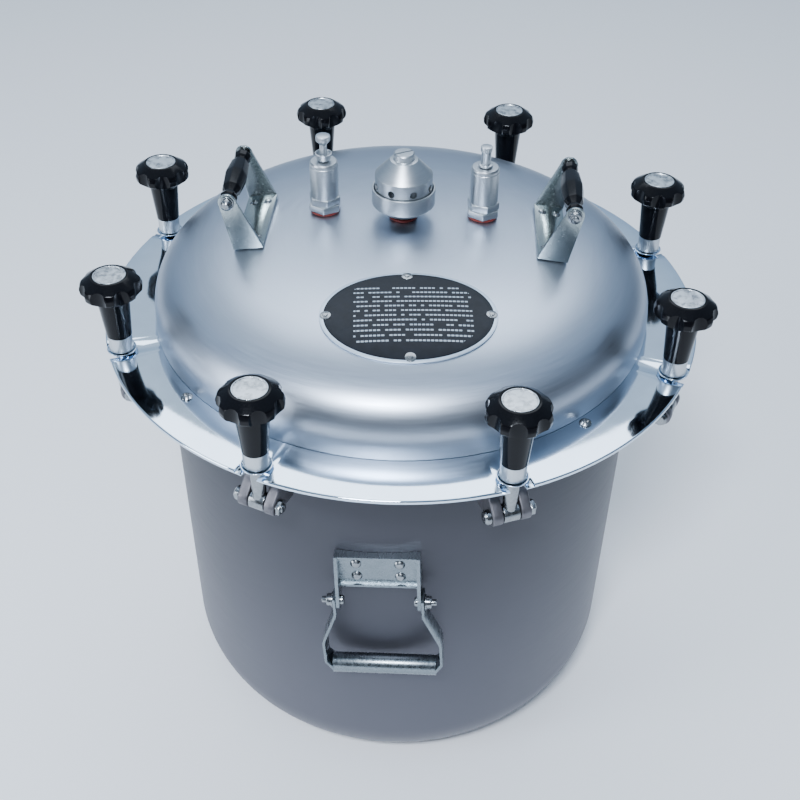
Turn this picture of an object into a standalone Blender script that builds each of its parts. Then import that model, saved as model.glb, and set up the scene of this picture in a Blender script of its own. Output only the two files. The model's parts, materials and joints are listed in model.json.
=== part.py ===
"""Clamp-lid pressure pot: a deep drawn pot, a domed lid held by eight swing bolts, valves and handles.

Metres, +Z up. The origin is the centre of the base, the front is -Y.
"""

import math

import bmesh
import bpy
from mathutils import Matrix, Vector

MM = 0.001
GAP = 0.3 * MM                      # clearance between neighbouring pieces
ROUND = 40                          # sides of the large turned pieces

# Pot
BODY_RADIUS = 223.5 * MM
WALL = 3.5 * MM
FLANGE_TOP = 436 * MM               # height of the lid flange's upper face above the base
BASE_CORNER = 66 * MM               # outer radius between wall and base
BASE_CORNER_STEPS = 5
RIM_RADIUS = 250 * MM
RIM_THICKNESS = 8 * MM

# Lid
FLANGE_RADIUS = 274 * MM
FLANGE_BORE = 206 * MM
FLANGE_THICKNESS = 4 * MM
GASKET_THICKNESS = 2.4 * MM
GASKET_INNER, GASKET_OUTER = 227 * MM, 247 * MM
TAB_REACH, TAB_WIDTH, TAB_X = 270 * MM, 14 * MM, 26.5 * MM
DOME_RADIUS = 228 * MM
DOME_HEIGHT = 78.3 * MM
DOME_POWER = 3.04                   # exponent of the dome's superellipse
DOME_WALL = 4 * MM
DOME_STEPS = 8

# Swing clamps
CLAMPS = 8
FIRST_CLAMP = math.radians(-112.5)
CLAMP_RADIUS = 261.5 * MM
PIVOT_DROP = 37 * MM                # pivot below the flange's upper face
PIN_RADIUS, PIN_LENGTH = 4 * MM, 45 * MM
EAR_RADIUS, EAR_THICKNESS, EAR_CENTRE = 8.5 * MM, 9 * MM, 12.2 * MM
EYE_RADIUS, EYE_WIDTH = 8 * MM, 14 * MM
SHANK_RADIUS = 6 * MM
SHANK_TOP = 65 * MM                 # bolt end above the flange's upper face
SLOT_HALF_WIDTH = 7 * MM
RELIEF_HALF_WIDTH, RELIEF_START, RELIEF_DEPTH = 13.8 * MM, 4 * MM, 2.1 * MM
WASHER_RADIUS, WASHER_THICKNESS = 13 * MM, 2.7 * MM
KNOB_RADIUS, KNOB_LOBE_DEPTH = 26.5 * MM, 3.5 * MM
KNOB_TOP = 79.3 * MM                # above the flange's upper face
KNOB_BORE_TOP = 69 * MM
KNOB_SIDES = 16

# Fittings on the dome
REGULATOR_Y = 15 * MM
VALVE_X, VALVE_Y = 72 * MM, 22 * MM
PORT_RADIUS = 6 * MM
SEAL_THICKNESS = 2 * MM
PLATE_CENTRE = (12.5 * MM, -131 * MM)
PLATE_TURN = math.radians(4.7)
PLATE_HALF_LENGTH, PLATE_HALF_WIDTH, PLATE_THICKNESS = 73 * MM, 52 * MM, 1.2 * MM

# Lid handles
HANDLE_X, HANDLE_Y = 133 * MM, 3 * MM
HANDLE_TILT = math.radians(7.7)     # slope of the dome under the handle
HANDLE_LENGTH, HANDLE_FOOT = 92 * MM, 27 * MM
HANDLE_SHEET = 2.5 * MM
CHEEK_HEIGHT, CHEEK_LEAN, CHEEK_TIP = 47 * MM, 9 * MM, 8 * MM
HANDLE_BOLT_RADIUS = 3 * MM
GRIP_RADIUS = 10.5 * MM

# Side bails
BAIL_ANGLE = math.radians(-91.5)
BAIL_ROLL = math.radians(3.5)       # the front bracket leans this much out of plumb
BAIL_DROP = 130 * MM                # middle of the bracket below the flange's upper face
BAIL_PLATE = (74.4 * MM, 36.6 * MM) # width and height of the bracket's back
BAIL_SHEET = 3 * MM
BAIL_PIVOT_OUT, BAIL_PIVOT_DROP = 13 * MM, 29 * MM
BAIL_PIN_RADIUS, BAIL_PIN_PROUD = 3 * MM, 14 * MM
BAIL_CHEEK_RADIUS = 8 * MM
BAIL_ARM, BAIL_GRIP_HALF = 87 * MM, 51.5 * MM
BAIL_STRIP, BAIL_STRIP_THICKNESS = 18 * MM, 2.5 * MM
BAIL_GRIP_RADIUS = 10.5 * MM

COLOURS = {
    "spun_steel": ((0.62, 0.66, 0.70), 0.35, 1.0),
    "polished_steel": ((0.80, 0.84, 0.88), 0.08, 1.0),
    "cast_steel": ((0.32, 0.31, 0.31), 0.50, 1.0),
    "turned_aluminium": ((0.70, 0.72, 0.74), 0.30, 1.0),
    "zinc_steel": ((0.60, 0.61, 0.63), 0.25, 1.0),
    "bakelite": ((0.012, 0.011, 0.016), 0.18, 0.0),
    "silicone": ((0.45, 0.06, 0.04), 0.55, 0.0),
    "rubber": ((0.02, 0.02, 0.02), 0.70, 0.0),
    "enamel_plate": ((0.05, 0.06, 0.08), 0.40, 0.0),
}


def clear_scene():
    for item in list(bpy.data.objects):
        bpy.data.objects.remove(item, do_unlink=True)


def collection(name, hidden=False):
    made = bpy.data.collections.new(name)
    made.hide_render = hidden
    bpy.context.scene.collection.children.link(made)
    return made


def material(name):
    found = bpy.data.materials.get(name)
    if found:
        return found
    colour, roughness, metallic = COLOURS[name]
    made = bpy.data.materials.new(name)
    made.use_nodes = True
    shader = made.node_tree.nodes["Principled BSDF"]
    shader.inputs["Base Color"].default_value = (*colour, 1)
    shader.inputs["Roughness"].default_value = roughness
    shader.inputs["Metallic"].default_value = metallic
    made.diffuse_color = (*colour, 1)
    return made


def add_object(name, mesh, finish, parts):
    """A new object in the parts, or a hidden cutter where it has no finish."""
    made = bpy.data.objects.new(name, mesh)
    if finish:
        parts["pieces"].objects.link(made)
        mesh.materials.append(material(finish))
    else:
        parts["tools"].objects.link(made)
        made.hide_render = True
        made.display_type = "WIRE"
    return made


def turned(name, profile, finish, parts, steps=ROUND, closed=False):
    """A profile of (radius, height) points turned about Z. A ring's profile is closed."""
    shape = bmesh.new()
    points = [shape.verts.new((radius, 0, height)) for radius, height in profile]
    ends = points + points[:1] if closed else points
    for start, end in zip(ends, ends[1:]):
        shape.edges.new((start, end))
    mesh = bpy.data.meshes.new(name)
    shape.to_mesh(mesh)
    shape.free()
    made = add_object(name, mesh, finish, parts)
    screw = made.modifiers.new("turn", "SCREW")
    screw.steps = screw.render_steps = steps
    screw.use_merge_vertices = True
    screw.merge_threshold = 1e-5
    screw.use_smooth_shade = True
    return made


def ring(name, inner, outer, bottom, top, finish, parts, steps=ROUND):
    profile = [(inner, top), (outer, top), (outer, bottom), (inner, bottom)]
    return turned(name, profile, finish, parts, steps, closed=True)


def cylinder(name, radius, bottom, top, finish, parts, sides=16):
    mesh = bpy.data.meshes.new(name)
    shape = bmesh.new()
    bmesh.ops.create_cone(
        shape, cap_ends=True, segments=sides, radius1=radius, radius2=radius, depth=top - bottom
    )
    bmesh.ops.translate(shape, verts=shape.verts, vec=(0, 0, (top + bottom) / 2))
    shape.to_mesh(mesh)
    shape.free()
    return add_object(name, mesh, finish, parts)


def box(name, low, high, finish, parts):
    mesh = bpy.data.meshes.new(name)
    shape = bmesh.new()
    bmesh.ops.create_cube(shape, size=1)
    size = Vector(high) - Vector(low)
    bmesh.ops.scale(shape, verts=shape.verts, vec=size)
    bmesh.ops.translate(shape, verts=shape.verts, vec=Vector(low) + size / 2)
    shape.to_mesh(mesh)
    shape.free()
    return add_object(name, mesh, finish, parts)


def outline(name, points, thickness, finish, parts):
    """A flat outline in X and Y, extruded about Z = 0, as a mesh with its caps welded."""
    curve = bpy.data.curves.new(name, "CURVE")
    curve.dimensions = "2D"
    curve.fill_mode = "BOTH"
    curve.extrude = thickness / 2
    spline = curve.splines.new("POLY")
    spline.points.add(len(points) - 1)
    for point, (x, y) in zip(spline.points, points):
        point.co = (x, y, 0, 1)
    spline.use_cyclic_u = True
    drawn = bpy.data.objects.new(name + "_outline", curve)
    bpy.context.scene.collection.objects.link(drawn)
    mesh = to_mesh(drawn, name)
    return add_object(name, mesh, finish, parts)


def to_mesh(drawn, name):
    """The evaluated mesh of an object, welded, with the object removed."""
    bpy.context.view_layer.update()
    graph = bpy.context.evaluated_depsgraph_get()
    mesh = bpy.data.meshes.new_from_object(drawn.evaluated_get(graph))
    mesh.name = name
    bpy.data.objects.remove(drawn, do_unlink=True)
    shape = bmesh.new()
    shape.from_mesh(mesh)
    bmesh.ops.remove_doubles(shape, verts=shape.verts, dist=1e-6)
    bmesh.ops.recalc_face_normals(shape, faces=shape.faces)
    shape.to_mesh(mesh)
    shape.free()
    mesh.materials.clear()
    return mesh


def boolean(base, others, operation):
    for other in others:
        change = base.modifiers.new(operation.lower(), "BOOLEAN")
        change.operation = operation
        change.object = other


def place(item, location=(0, 0, 0), turn=0, tilt=0, axis="Y"):
    """Tilts the object about an axis of its own, then turns it about Z and moves it."""
    item.matrix_world = (
        Matrix.Translation(location) @ Matrix.Rotation(turn, 4, "Z") @ Matrix.Rotation(tilt, 4, axis)
    )


def around_flats(radius, sides):
    """Radius of the corners of a bore whose flats keep this radius clear."""
    return radius / math.cos(math.pi / sides)


def around(angle, radius, height=0.0):
    return Vector((radius * math.cos(angle), radius * math.sin(angle), height))


def arc(centre, radius, start, end, steps):
    """Points on an arc in a plane, both ends included, with angles in degrees."""
    angles = [math.radians(start + (end - start) * i / steps) for i in range(steps + 1)]
    return [(centre[0] + radius * math.cos(a), centre[1] + radius * math.sin(a)) for a in angles]


def dome_height(radius, shrink=0.0):
    """Height of the dome's surface above its foot, on the outside or a wall further in."""
    share = min(radius / (DOME_RADIUS - shrink), 1.0)
    return (DOME_HEIGHT - shrink) * (1 - share**DOME_POWER) ** (1 / DOME_POWER)


def dome_curve(shrink):
    """Profile points from the apex down to the foot, closer together on the shoulder."""
    points = []
    for i in range(DOME_STEPS + 1):
        angle = math.radians(90 * i / DOME_STEPS)
        radius = (DOME_RADIUS - shrink) * math.sin(angle) ** (2 / DOME_POWER)
        points.append((radius, dome_height(radius, shrink)))
    return points


def on_dome(x, y):
    return FLANGE_TOP + GAP + dome_height(math.hypot(x, y))


def make_pot(parts):
    top = FLANGE_TOP - FLANGE_THICKNESS - GASKET_THICKNESS - 2 * GAP
    centre = BODY_RADIUS - BASE_CORNER
    inner = BODY_RADIUS - WALL
    outside = arc((centre, BASE_CORNER), BASE_CORNER, 0, -90, BASE_CORNER_STEPS)
    inside = arc((centre, BASE_CORNER), BASE_CORNER - WALL, -90, 0, BASE_CORNER_STEPS)
    profile = [(inner, top), (BODY_RADIUS, top), *outside, (0, 0)]
    turned_floor = [(0, WALL), *inside]
    wall = profile[1:] + turned_floor + profile[:1]
    turned("pot_body", closed_profile(wall), "spun_steel", parts)
    ears_and_rim(top, parts)
    make_gasket(top, parts)


def closed_profile(points):
    """A cup's profile: down the outside to the axis, then up the inside and over the lip."""
    return points + points[:1]


def ears_and_rim(top, parts):
    low = top - RIM_THICKNESS
    rim = ring("pot_rim", BODY_RADIUS + GAP, RIM_RADIUS, low, top, "cast_steel", parts)
    pivot = FLANGE_TOP - PIVOT_DROP
    root = BODY_RADIUS + 1.5 * MM
    disc = arc((CLAMP_RADIUS, pivot), EAR_RADIUS, -90, 45, 4)
    ear = [(root, pivot - EAR_RADIUS), *disc, (RIM_RADIUS - 1 * MM, low + 2 * MM), (root, low + 2 * MM)]
    tools = []
    for clamp in range(CLAMPS):
        angle = FIRST_CLAMP + clamp * math.tau / CLAMPS
        for side in (-1, 1):
            plate = outline(f"ear_{clamp + 1}_{side}", ear, EAR_THICKNESS, None, parts)
            sideways = around(angle + math.pi / 2, side * EAR_CENTRE)
            place(plate, sideways, angle, math.pi / 2, "X")
            tools.append(plate)
    boolean(rim, tools, "UNION")
    holes = []
    for clamp in range(CLAMPS):
        angle = FIRST_CLAMP + clamp * math.tau / CLAMPS
        half = EAR_CENTRE + EAR_THICKNESS
        hole = cylinder(f"ear_hole_{clamp + 1}", around_flats(PIN_RADIUS + GAP, 8), -half, half, None, parts, 8)
        place(hole, around(angle, CLAMP_RADIUS, pivot), angle, math.pi / 2, "X")
        holes.append(hole)
    boolean(rim, holes, "DIFFERENCE")


def make_gasket(rim_top, parts):
    low, high = rim_top + GAP, rim_top + GAP + GASKET_THICKNESS
    gasket = ring("lid_gasket", GASKET_INNER, GASKET_OUTER, low, high, "rubber", parts)
    tab = box(
        "gasket_tab",
        (TAB_X - TAB_WIDTH / 2, -TAB_REACH, low),
        (TAB_X + TAB_WIDTH / 2, -GASKET_OUTER + 8 * MM, high),
        None,
        parts,
    )
    boolean(gasket, [tab], "UNION")


def make_lid(parts):
    low = FLANGE_TOP - FLANGE_THICKNESS
    flange = ring("lid_flange", FLANGE_BORE, FLANGE_RADIUS, low, FLANGE_TOP, "polished_steel", parts)
    cutters = []
    for clamp in range(CLAMPS):
        angle = FIRST_CLAMP + clamp * math.tau / CLAMPS
        mouth = arc((0, 0), SLOT_HALF_WIDTH, 90, 270, 6)
        mouth += [(30 * MM, -SLOT_HALF_WIDTH), (30 * MM, SLOT_HALF_WIDTH)]
        slot = outline(f"slot_{clamp + 1}", mouth, 3 * FLANGE_THICKNESS, None, parts)
        place(slot, around(angle, CLAMP_RADIUS, FLANGE_TOP), angle)
        relief = box(
            f"relief_{clamp + 1}",
            (RELIEF_START, -RELIEF_HALF_WIDTH, -RELIEF_DEPTH),
            (30 * MM, RELIEF_HALF_WIDTH, 10 * MM),
            None,
            parts,
        )
        place(relief, around(angle, CLAMP_RADIUS, FLANGE_TOP), angle)
        cutters += [slot, relief]
    boolean(flange, cutters, "DIFFERENCE")
    foot = FLANGE_TOP + GAP
    outer = [(radius, foot + height) for radius, height in dome_curve(0)]
    inner = [(radius, foot + height) for radius, height in dome_curve(DOME_WALL)]
    dome = turned("lid_dome", outer + inner[::-1], "spun_steel", parts)
    ports = []
    for x, y in ((-VALVE_X, VALVE_Y), (0, REGULATOR_Y), (VALVE_X, VALVE_Y)):
        port = cylinder("port", PORT_RADIUS + GAP, 0, 0.1, None, parts, 16)
        place(port, (x, y, FLANGE_TOP + DOME_HEIGHT / 2))
        ports.append(port)
    boolean(dome, ports, "DIFFERENCE")
    make_nameplate(parts)


def make_nameplate(parts):
    """An oval sheet that follows the dome, with its wall grown outwards."""
    shape = bmesh.new()
    bmesh.ops.create_circle(shape, cap_ends=True, segments=24, radius=1)
    for _ in range(3):
        middle = [face for face in shape.faces if len(face.verts) > 4]
        bmesh.ops.inset_region(shape, faces=middle, use_boundary=True, thickness=0.25)
    bmesh.ops.poke(shape, faces=[face for face in shape.faces if len(face.verts) > 4])
    turn = Matrix.Rotation(PLATE_TURN, 2)
    for vertex in shape.verts:
        flat = Vector((vertex.co.x * PLATE_HALF_LENGTH, vertex.co.y * PLATE_HALF_WIDTH))
        vertex.co.xy = turn @ flat + Vector(PLATE_CENTRE)
        vertex.co.z = on_dome(vertex.co.x, vertex.co.y) + 2 * GAP
    mesh = bpy.data.meshes.new("nameplate")
    shape.to_mesh(mesh)
    shape.free()
    plate = add_object("nameplate", mesh, "enamel_plate", parts)
    wall = plate.modifiers.new("wall", "SOLIDIFY")
    wall.thickness = PLATE_THICKNESS
    wall.offset = 1


def clamp_pin(name, parts):
    """A headed pin along Y with its nut, as one turned body."""
    head, nut = 6.2 * MM, 6.5 * MM
    seat = EAR_CENTRE + EAR_THICKNESS / 2 + GAP
    end = PIN_LENGTH / 2
    profile = [(0, end), (head, end), (head, seat), (PIN_RADIUS, seat), (PIN_RADIUS, -seat)]
    profile += [(nut, -seat), (nut, -end), (0, -end)]
    return turned(name, profile, "zinc_steel", parts, 10)


def clamp_bolt(name, parts):
    """An eye across Y at the origin with the shank rising from it."""
    top = PIVOT_DROP + SHANK_TOP
    profile = [(0, top), (SHANK_RADIUS - 1 * MM, top), (SHANK_RADIUS, top - 1 * MM)]
    profile += [(SHANK_RADIUS, EYE_RADIUS / 2), (0, EYE_RADIUS / 2)]
    bolt = turned(name, profile, "zinc_steel", parts, 12)
    half = EYE_WIDTH / 2
    eye = cylinder(name + "_eye", EYE_RADIUS, -half, half, None, parts, 14)
    hole = cylinder(name + "_hole", PIN_RADIUS + GAP, -half * 2, half * 2, None, parts, 10)
    boolean(bolt, [eye], "UNION")
    boolean(bolt, [hole], "DIFFERENCE")
    return bolt, [eye, hole]


def clamp_washer(name, parts):
    low = PIVOT_DROP + GAP
    bore = SHANK_RADIUS + GAP
    return ring(name, bore, WASHER_RADIUS, low, low + WASHER_THICKNESS, "polished_steel", parts, 16)


def knob_profile():
    """Radius, height above the flange's upper face, and whether the row is scalloped."""
    seat = 2 * GAP + WASHER_THICKNESS
    bore = SHANK_RADIUS + GAP
    return [
        (0, KNOB_TOP, False),
        (15 * MM, KNOB_TOP, False),
        (21 * MM, 76.5 * MM, False),
        (KNOB_RADIUS, 71.5 * MM, True),
        (KNOB_RADIUS, 64.5 * MM, True),
        (21 * MM, 59.5 * MM, False),
        (14 * MM, 57.5 * MM, False),
        (10.8 * MM, 18 * MM, False),
        (10.5 * MM, seat, False),
        (bore, seat, False),
        (bore, KNOB_BORE_TOP, False),
        (0, KNOB_BORE_TOP, False),
    ]


def clamp_knob(name, parts):
    """A star head on a tapering stem, bored for the bolt. Every second column is a hollow."""
    rows = knob_profile()
    profile = [(radius, PIVOT_DROP + height) for radius, height, _ in rows]
    smooth = turned(name + "_blank", profile, "bakelite", parts, KNOB_SIDES)
    mesh = to_mesh(smooth, name)
    scalloped = {round(PIVOT_DROP + height, 5) for _, height, star in rows if star}
    for vertex in mesh.vertices:
        column = round(math.atan2(vertex.co.y, vertex.co.x) / math.tau * KNOB_SIDES)
        if column % 2 and round(vertex.co.z, 5) in scalloped:
            vertex.co.xy *= 1 - KNOB_LOBE_DEPTH / KNOB_RADIUS
    return add_object(name, mesh, "bakelite", parts)


def make_clamps(parts):
    for clamp in range(CLAMPS):
        angle = FIRST_CLAMP + clamp * math.tau / CLAMPS
        pivot = bpy.data.objects.new(f"clamp_{clamp + 1}_pivot", None)
        parts["pieces"].objects.link(pivot)
        place(pivot, around(angle, CLAMP_RADIUS, FLANGE_TOP - PIVOT_DROP), angle)
        pin = clamp_pin(f"clamp_{clamp + 1}_pin", parts)
        bolt, tools = clamp_bolt(f"clamp_{clamp + 1}_bolt", parts)
        washer = clamp_washer(f"clamp_{clamp + 1}_washer", parts)
        knob = clamp_knob(f"clamp_{clamp + 1}_knob", parts)
        for across in [pin, *tools]:
            across.rotation_euler.x = math.pi / 2
        for item in [pin, bolt, washer, knob, *tools]:
            item.parent = pivot


def make_regulator(parts):
    """Weighted regulator in the middle: vent pipe, cup weight and pierced cap over its seal."""
    centre = (0, REGULATOR_Y, on_dome(0, REGULATOR_Y))
    seal_top = GAP + SEAL_THICKNESS
    pipe_low = seal_top + GAP
    place(ring("regulator_seal", 9.2 * MM, 13 * MM, GAP, seal_top, "silicone", parts, 16), centre)
    pipe = [(3.5 * MM, 18 * MM), (6.5 * MM, 18 * MM), (6.5 * MM, pipe_low + 6 * MM)]
    pipe += [(12 * MM, pipe_low + 6 * MM), (12 * MM, pipe_low), (PORT_RADIUS, pipe_low)]
    pipe += [(PORT_RADIUS, -14 * MM), (3.5 * MM, -14 * MM)]
    place(turned("regulator_pipe", pipe, "bakelite", parts, 12, closed=True), centre)
    cup_low = pipe_low + 6 * MM + GAP
    cup = [(28.5 * MM, 30.5 * MM), (28.5 * MM, cup_low + 6 * MM), (21 * MM, cup_low)]
    cup += [(7 * MM, cup_low), (7 * MM, 20 * MM), (26.6 * MM, 20 * MM), (27 * MM, 30.5 * MM)]
    place(turned("regulator_weight", cup, "turned_aluminium", parts, 20, closed=True), centre)
    cap = [(0, 64 * MM), (8 * MM, 64 * MM), (9.2 * MM, 62.5 * MM), (9.2 * MM, 57 * MM)]
    cap += [(12 * MM, 56 * MM), (25.8 * MM, 43 * MM), (25.8 * MM, 20.5 * MM), (23 * MM, 20.5 * MM)]
    cap += [(23 * MM, 41 * MM), (0, 41 * MM)]
    cover = turned("regulator_cap", cap, "turned_aluminium", parts, 20)
    place(cover, centre)
    vents = []
    for vent in range(4):
        bore = cylinder(f"regulator_vent_{vent + 1}", 3.2 * MM, -40 * MM, 40 * MM, None, parts, 8)
        angle = math.tau * (vent + 0.5) / 8
        place(bore, Vector(centre) + Vector((0, 0, 35 * MM)), angle, math.pi / 2, "X")
        vents.append(bore)
    boolean(cover, vents, "DIFFERENCE")


def make_valve(side, x, head, parts):
    """Spring safety valve: seal, hexagon body, spring inside and a stem through the top."""
    centre = (x, VALVE_Y, on_dome(VALVE_X - 14 * MM, VALVE_Y))
    seal_top = GAP + SEAL_THICKNESS
    place(ring(f"{side}_valve_seal", 9.2 * MM, 13.6 * MM, GAP, seal_top, "silicone", parts, 16), centre)
    low = seal_top + GAP
    shell = [(5 * MM, 50 * MM), (12.8 * MM, 50 * MM), (12.8 * MM, low + 2 * MM), (PORT_RADIUS, low + 2 * MM)]
    shell += [(PORT_RADIUS, -14 * MM), (3 * MM, -14 * MM), (3 * MM, 14 * MM), (9.5 * MM, 14 * MM)]
    shell += [(9.5 * MM, 46 * MM), (5 * MM, 46 * MM)]
    body = turned(f"{side}_valve_body", shell, "turned_aluminium", parts, 18, closed=True)
    hexagon = cylinder(f"{side}_hexagon", 15.6 * MM, low, low + 12 * MM, None, parts, 6)
    bore = cylinder(f"{side}_hexagon_bore", 8 * MM, low - 1 * MM, low + 13 * MM, None, parts, 12)
    boolean(hexagon, [bore], "DIFFERENCE")
    boolean(body, [hexagon], "UNION")
    for item in (body, hexagon, bore):
        place(item, centre)
    stem = [(0, head[0]), (head[1], head[0]), (head[1], head[2]), (4.4 * MM, head[2])]
    stem += [(4.4 * MM, 20 * MM), (8.5 * MM, 20 * MM), (8.5 * MM, 15 * MM), (0, 15 * MM)]
    place(turned(f"{side}_valve_stem", stem, "turned_aluminium", parts, 12), centre)
    make_spring(f"{side}_valve_spring", centre, 21 * MM, 39 * MM, parts)


def make_spring(name, centre, low, high, parts):
    """A coil from one height to another about the stem."""
    turns, per_turn, coil_radius, wire = 4, 8, 7 * MM, 0.9 * MM
    curve = bpy.data.curves.new(name, "CURVE")
    curve.dimensions = "3D"
    curve.bevel_depth = wire
    curve.bevel_resolution = 0
    curve.use_fill_caps = True
    spline = curve.splines.new("POLY")
    count = turns * per_turn
    spline.points.add(count)
    for i, point in enumerate(spline.points):
        at = around(math.tau * i / per_turn, coil_radius, low + wire + (high - low - 2 * wire) * i / count)
        point.co = (*at, 1)
    coil = bpy.data.objects.new(name, curve)
    parts["pieces"].objects.link(coil)
    curve.materials.append(material("zinc_steel"))
    coil.location = centre


def make_lid_handle(side, mirror, parts):
    """A sheet bracket with two leaning cheeks, a turned grip between them and its long bolt."""
    frame = bpy.data.objects.new(f"{side}_lid_handle_frame", None)
    parts["pieces"].objects.link(frame)
    centre = (mirror * HANDLE_X, HANDLE_Y, on_dome(HANDLE_X, 0))
    place(frame, centre, 0 if mirror > 0 else math.pi, HANDLE_TILT)
    half = HANDLE_LENGTH / 2
    foot = 2 * GAP
    bracket = box(
        f"{side}_lid_handle_bracket",
        (-HANDLE_FOOT / 2, -half, foot),
        (HANDLE_FOOT / 2, half, foot + HANDLE_SHEET),
        "polished_steel",
        parts,
    )
    cheek = [(-HANDLE_FOOT / 2, foot), (HANDLE_FOOT / 2, foot)]
    cheek += arc((CHEEK_LEAN, CHEEK_HEIGHT), CHEEK_TIP, -10, 170, 6)
    tools = []
    for end in (-1, 1):
        plate = outline(f"{side}_cheek_{end}", cheek, HANDLE_SHEET, None, parts)
        plate.rotation_euler.x = math.pi / 2
        plate.location.y = end * (half - HANDLE_SHEET / 2)
        tools.append(plate)
    reach = half + 7 * MM
    hole = cylinder(f"{side}_handle_hole", HANDLE_BOLT_RADIUS + GAP, -reach, reach, None, parts, 12)
    boolean(bracket, tools, "UNION")
    boolean(bracket, [hole], "DIFFERENCE")
    inside = half - HANDLE_SHEET - GAP
    bore = HANDLE_BOLT_RADIUS + GAP
    grip = [(bore, inside), (6 * MM, inside), (7.8 * MM, inside - 5 * MM), (7 * MM, inside - 11 * MM)]
    grip += [(5.5 * MM, inside - 14 * MM), (9 * MM, inside - 22 * MM), (GRIP_RADIUS, inside - 34 * MM)]
    grip += [(radius, -height) for radius, height in reversed(grip)]
    handle = turned(f"{side}_lid_handle_grip", grip, "bakelite", parts, 12, closed=True)
    outer = half + GAP
    bolt = [(0, reach), (5.5 * MM, reach), (5.5 * MM, outer), (HANDLE_BOLT_RADIUS, outer)]
    bolt += [(HANDLE_BOLT_RADIUS, -outer), (6 * MM, -outer), (6 * MM, -reach), (0, -reach)]
    rod = turned(f"{side}_lid_handle_bolt", bolt, "zinc_steel", parts, 10)
    for item in (hole, handle, rod):
        item.rotation_euler.x = math.pi / 2
        item.location = (CHEEK_LEAN, 0, CHEEK_HEIGHT)
    for item in (bracket, hole, handle, rod, *tools):
        item.parent = frame


def make_bail(side, angle, roll, parts):
    """A pivot bracket on the wall and the folding bail that hangs from it. Local +X points outwards."""
    frame = bpy.data.objects.new(f"{side}_bail_frame", None)
    parts["pieces"].objects.link(frame)
    place(frame, around(angle, BODY_RADIUS, FLANGE_TOP - BAIL_DROP), angle, roll, "X")
    half, top = BAIL_PLATE[0] / 2, BAIL_PLATE[1] / 2
    face = 2 * GAP + BAIL_SHEET
    pivot = Vector((BAIL_PIVOT_OUT, 0, -BAIL_PIVOT_DROP))
    back = box(
        f"{side}_bail_bracket", (-3.2 * MM, -half, -top), (face, half, top), "polished_steel", parts
    )
    wall = cylinder(f"{side}_bail_wall", BODY_RADIUS + GAP, -0.2, 0.2, None, parts, 160)
    wall.location.x = -BODY_RADIUS
    side_view = [(face - BAIL_SHEET, -top), (face - BAIL_SHEET, top), (BAIL_PIVOT_OUT, top)]
    side_view += arc((pivot.x, pivot.z), BAIL_CHEEK_RADIUS, 0, -180, 6)
    cheeks = []
    for end in (-1, 1):
        cheek = outline(f"{side}_bail_cheek_{end}", side_view, BAIL_SHEET, None, parts)
        cheek.rotation_euler.x = math.pi / 2
        cheek.location.y = end * (half - BAIL_SHEET / 2)
        cheeks.append(cheek)
    reach = half + BAIL_PIN_PROUD
    pin = cylinder(f"{side}_bail_pin", BAIL_PIN_RADIUS, -reach, reach, None, parts, 12)
    boolean(back, [*cheeks, pin], "UNION")
    boolean(back, [wall], "DIFFERENCE")
    bail = bail_strip(side, half, parts)
    pin.rotation_euler.x = math.pi / 2
    pin.location = bail.location = pivot
    for item in (back, wall, pin, bail, *cheeks):
        item.parent = frame


def bail_strip(side, half, parts):
    """The bent strip, modelled hanging from its pivot at the origin, with a rolled grip."""
    thick = BAIL_STRIP_THICKNESS
    inner_top = half + GAP
    points = [(inner_top, 9 * MM), (inner_top, -12 * MM), (BAIL_GRIP_HALF, -48 * MM)]
    points += [(BAIL_GRIP_HALF, -BAIL_ARM - 3 * MM)]
    outer = [(y + thick, z) for y, z in points]
    arm = outline(f"{side}_bail_handle", points + outer[::-1], BAIL_STRIP, "polished_steel", parts)
    for vertex in arm.data.vertices:
        across, up, deep = vertex.co
        vertex.co = (deep, across, up)
    other = outline(f"{side}_bail_arm", points + outer[::-1], BAIL_STRIP, None, parts)
    for vertex in other.data.vertices:
        across, up, deep = vertex.co
        vertex.co = (deep, -across, up)
    other.data.flip_normals()
    span = BAIL_GRIP_HALF + thick / 2
    grip = cylinder(f"{side}_bail_grip", BAIL_GRIP_RADIUS, -span, span, None, parts, 16)
    grip.rotation_euler.x = math.pi / 2
    grip.location.z = -BAIL_ARM
    reach = half + 20 * MM
    hole = cylinder(f"{side}_bail_hole", BAIL_PIN_RADIUS + GAP, -reach, reach, None, parts, 12)
    hole.rotation_euler.x = math.pi / 2
    boolean(arm, [other, grip], "UNION")
    boolean(arm, [hole], "DIFFERENCE")
    for item in (other, grip, hole):
        item.parent = arm
    return arm


def main():
    clear_scene()
    parts = {"pieces": collection("pressure_pot"), "tools": collection("cutters", hidden=True)}
    make_pot(parts)
    make_lid(parts)
    make_clamps(parts)
    make_regulator(parts)
    make_valve("left", -VALVE_X, (75 * MM, 6.5 * MM, 70 * MM), parts)
    make_valve("right", VALVE_X, (70 * MM, 5.4 * MM, 64 * MM), parts)
    make_lid_handle("right", 1, parts)
    make_lid_handle("left", -1, parts)
    make_bail("front", BAIL_ANGLE, BAIL_ROLL, parts)
    make_bail("back", BAIL_ANGLE + math.pi, 0, parts)


main()
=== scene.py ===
"""Clamp-lid pressure pot: its visible surfaces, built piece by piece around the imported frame."""

import json
import math

import bpy
from bpy.props import FloatProperty, FloatVectorProperty, IntProperty, PointerProperty
from mathutils import Matrix, Vector


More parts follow.
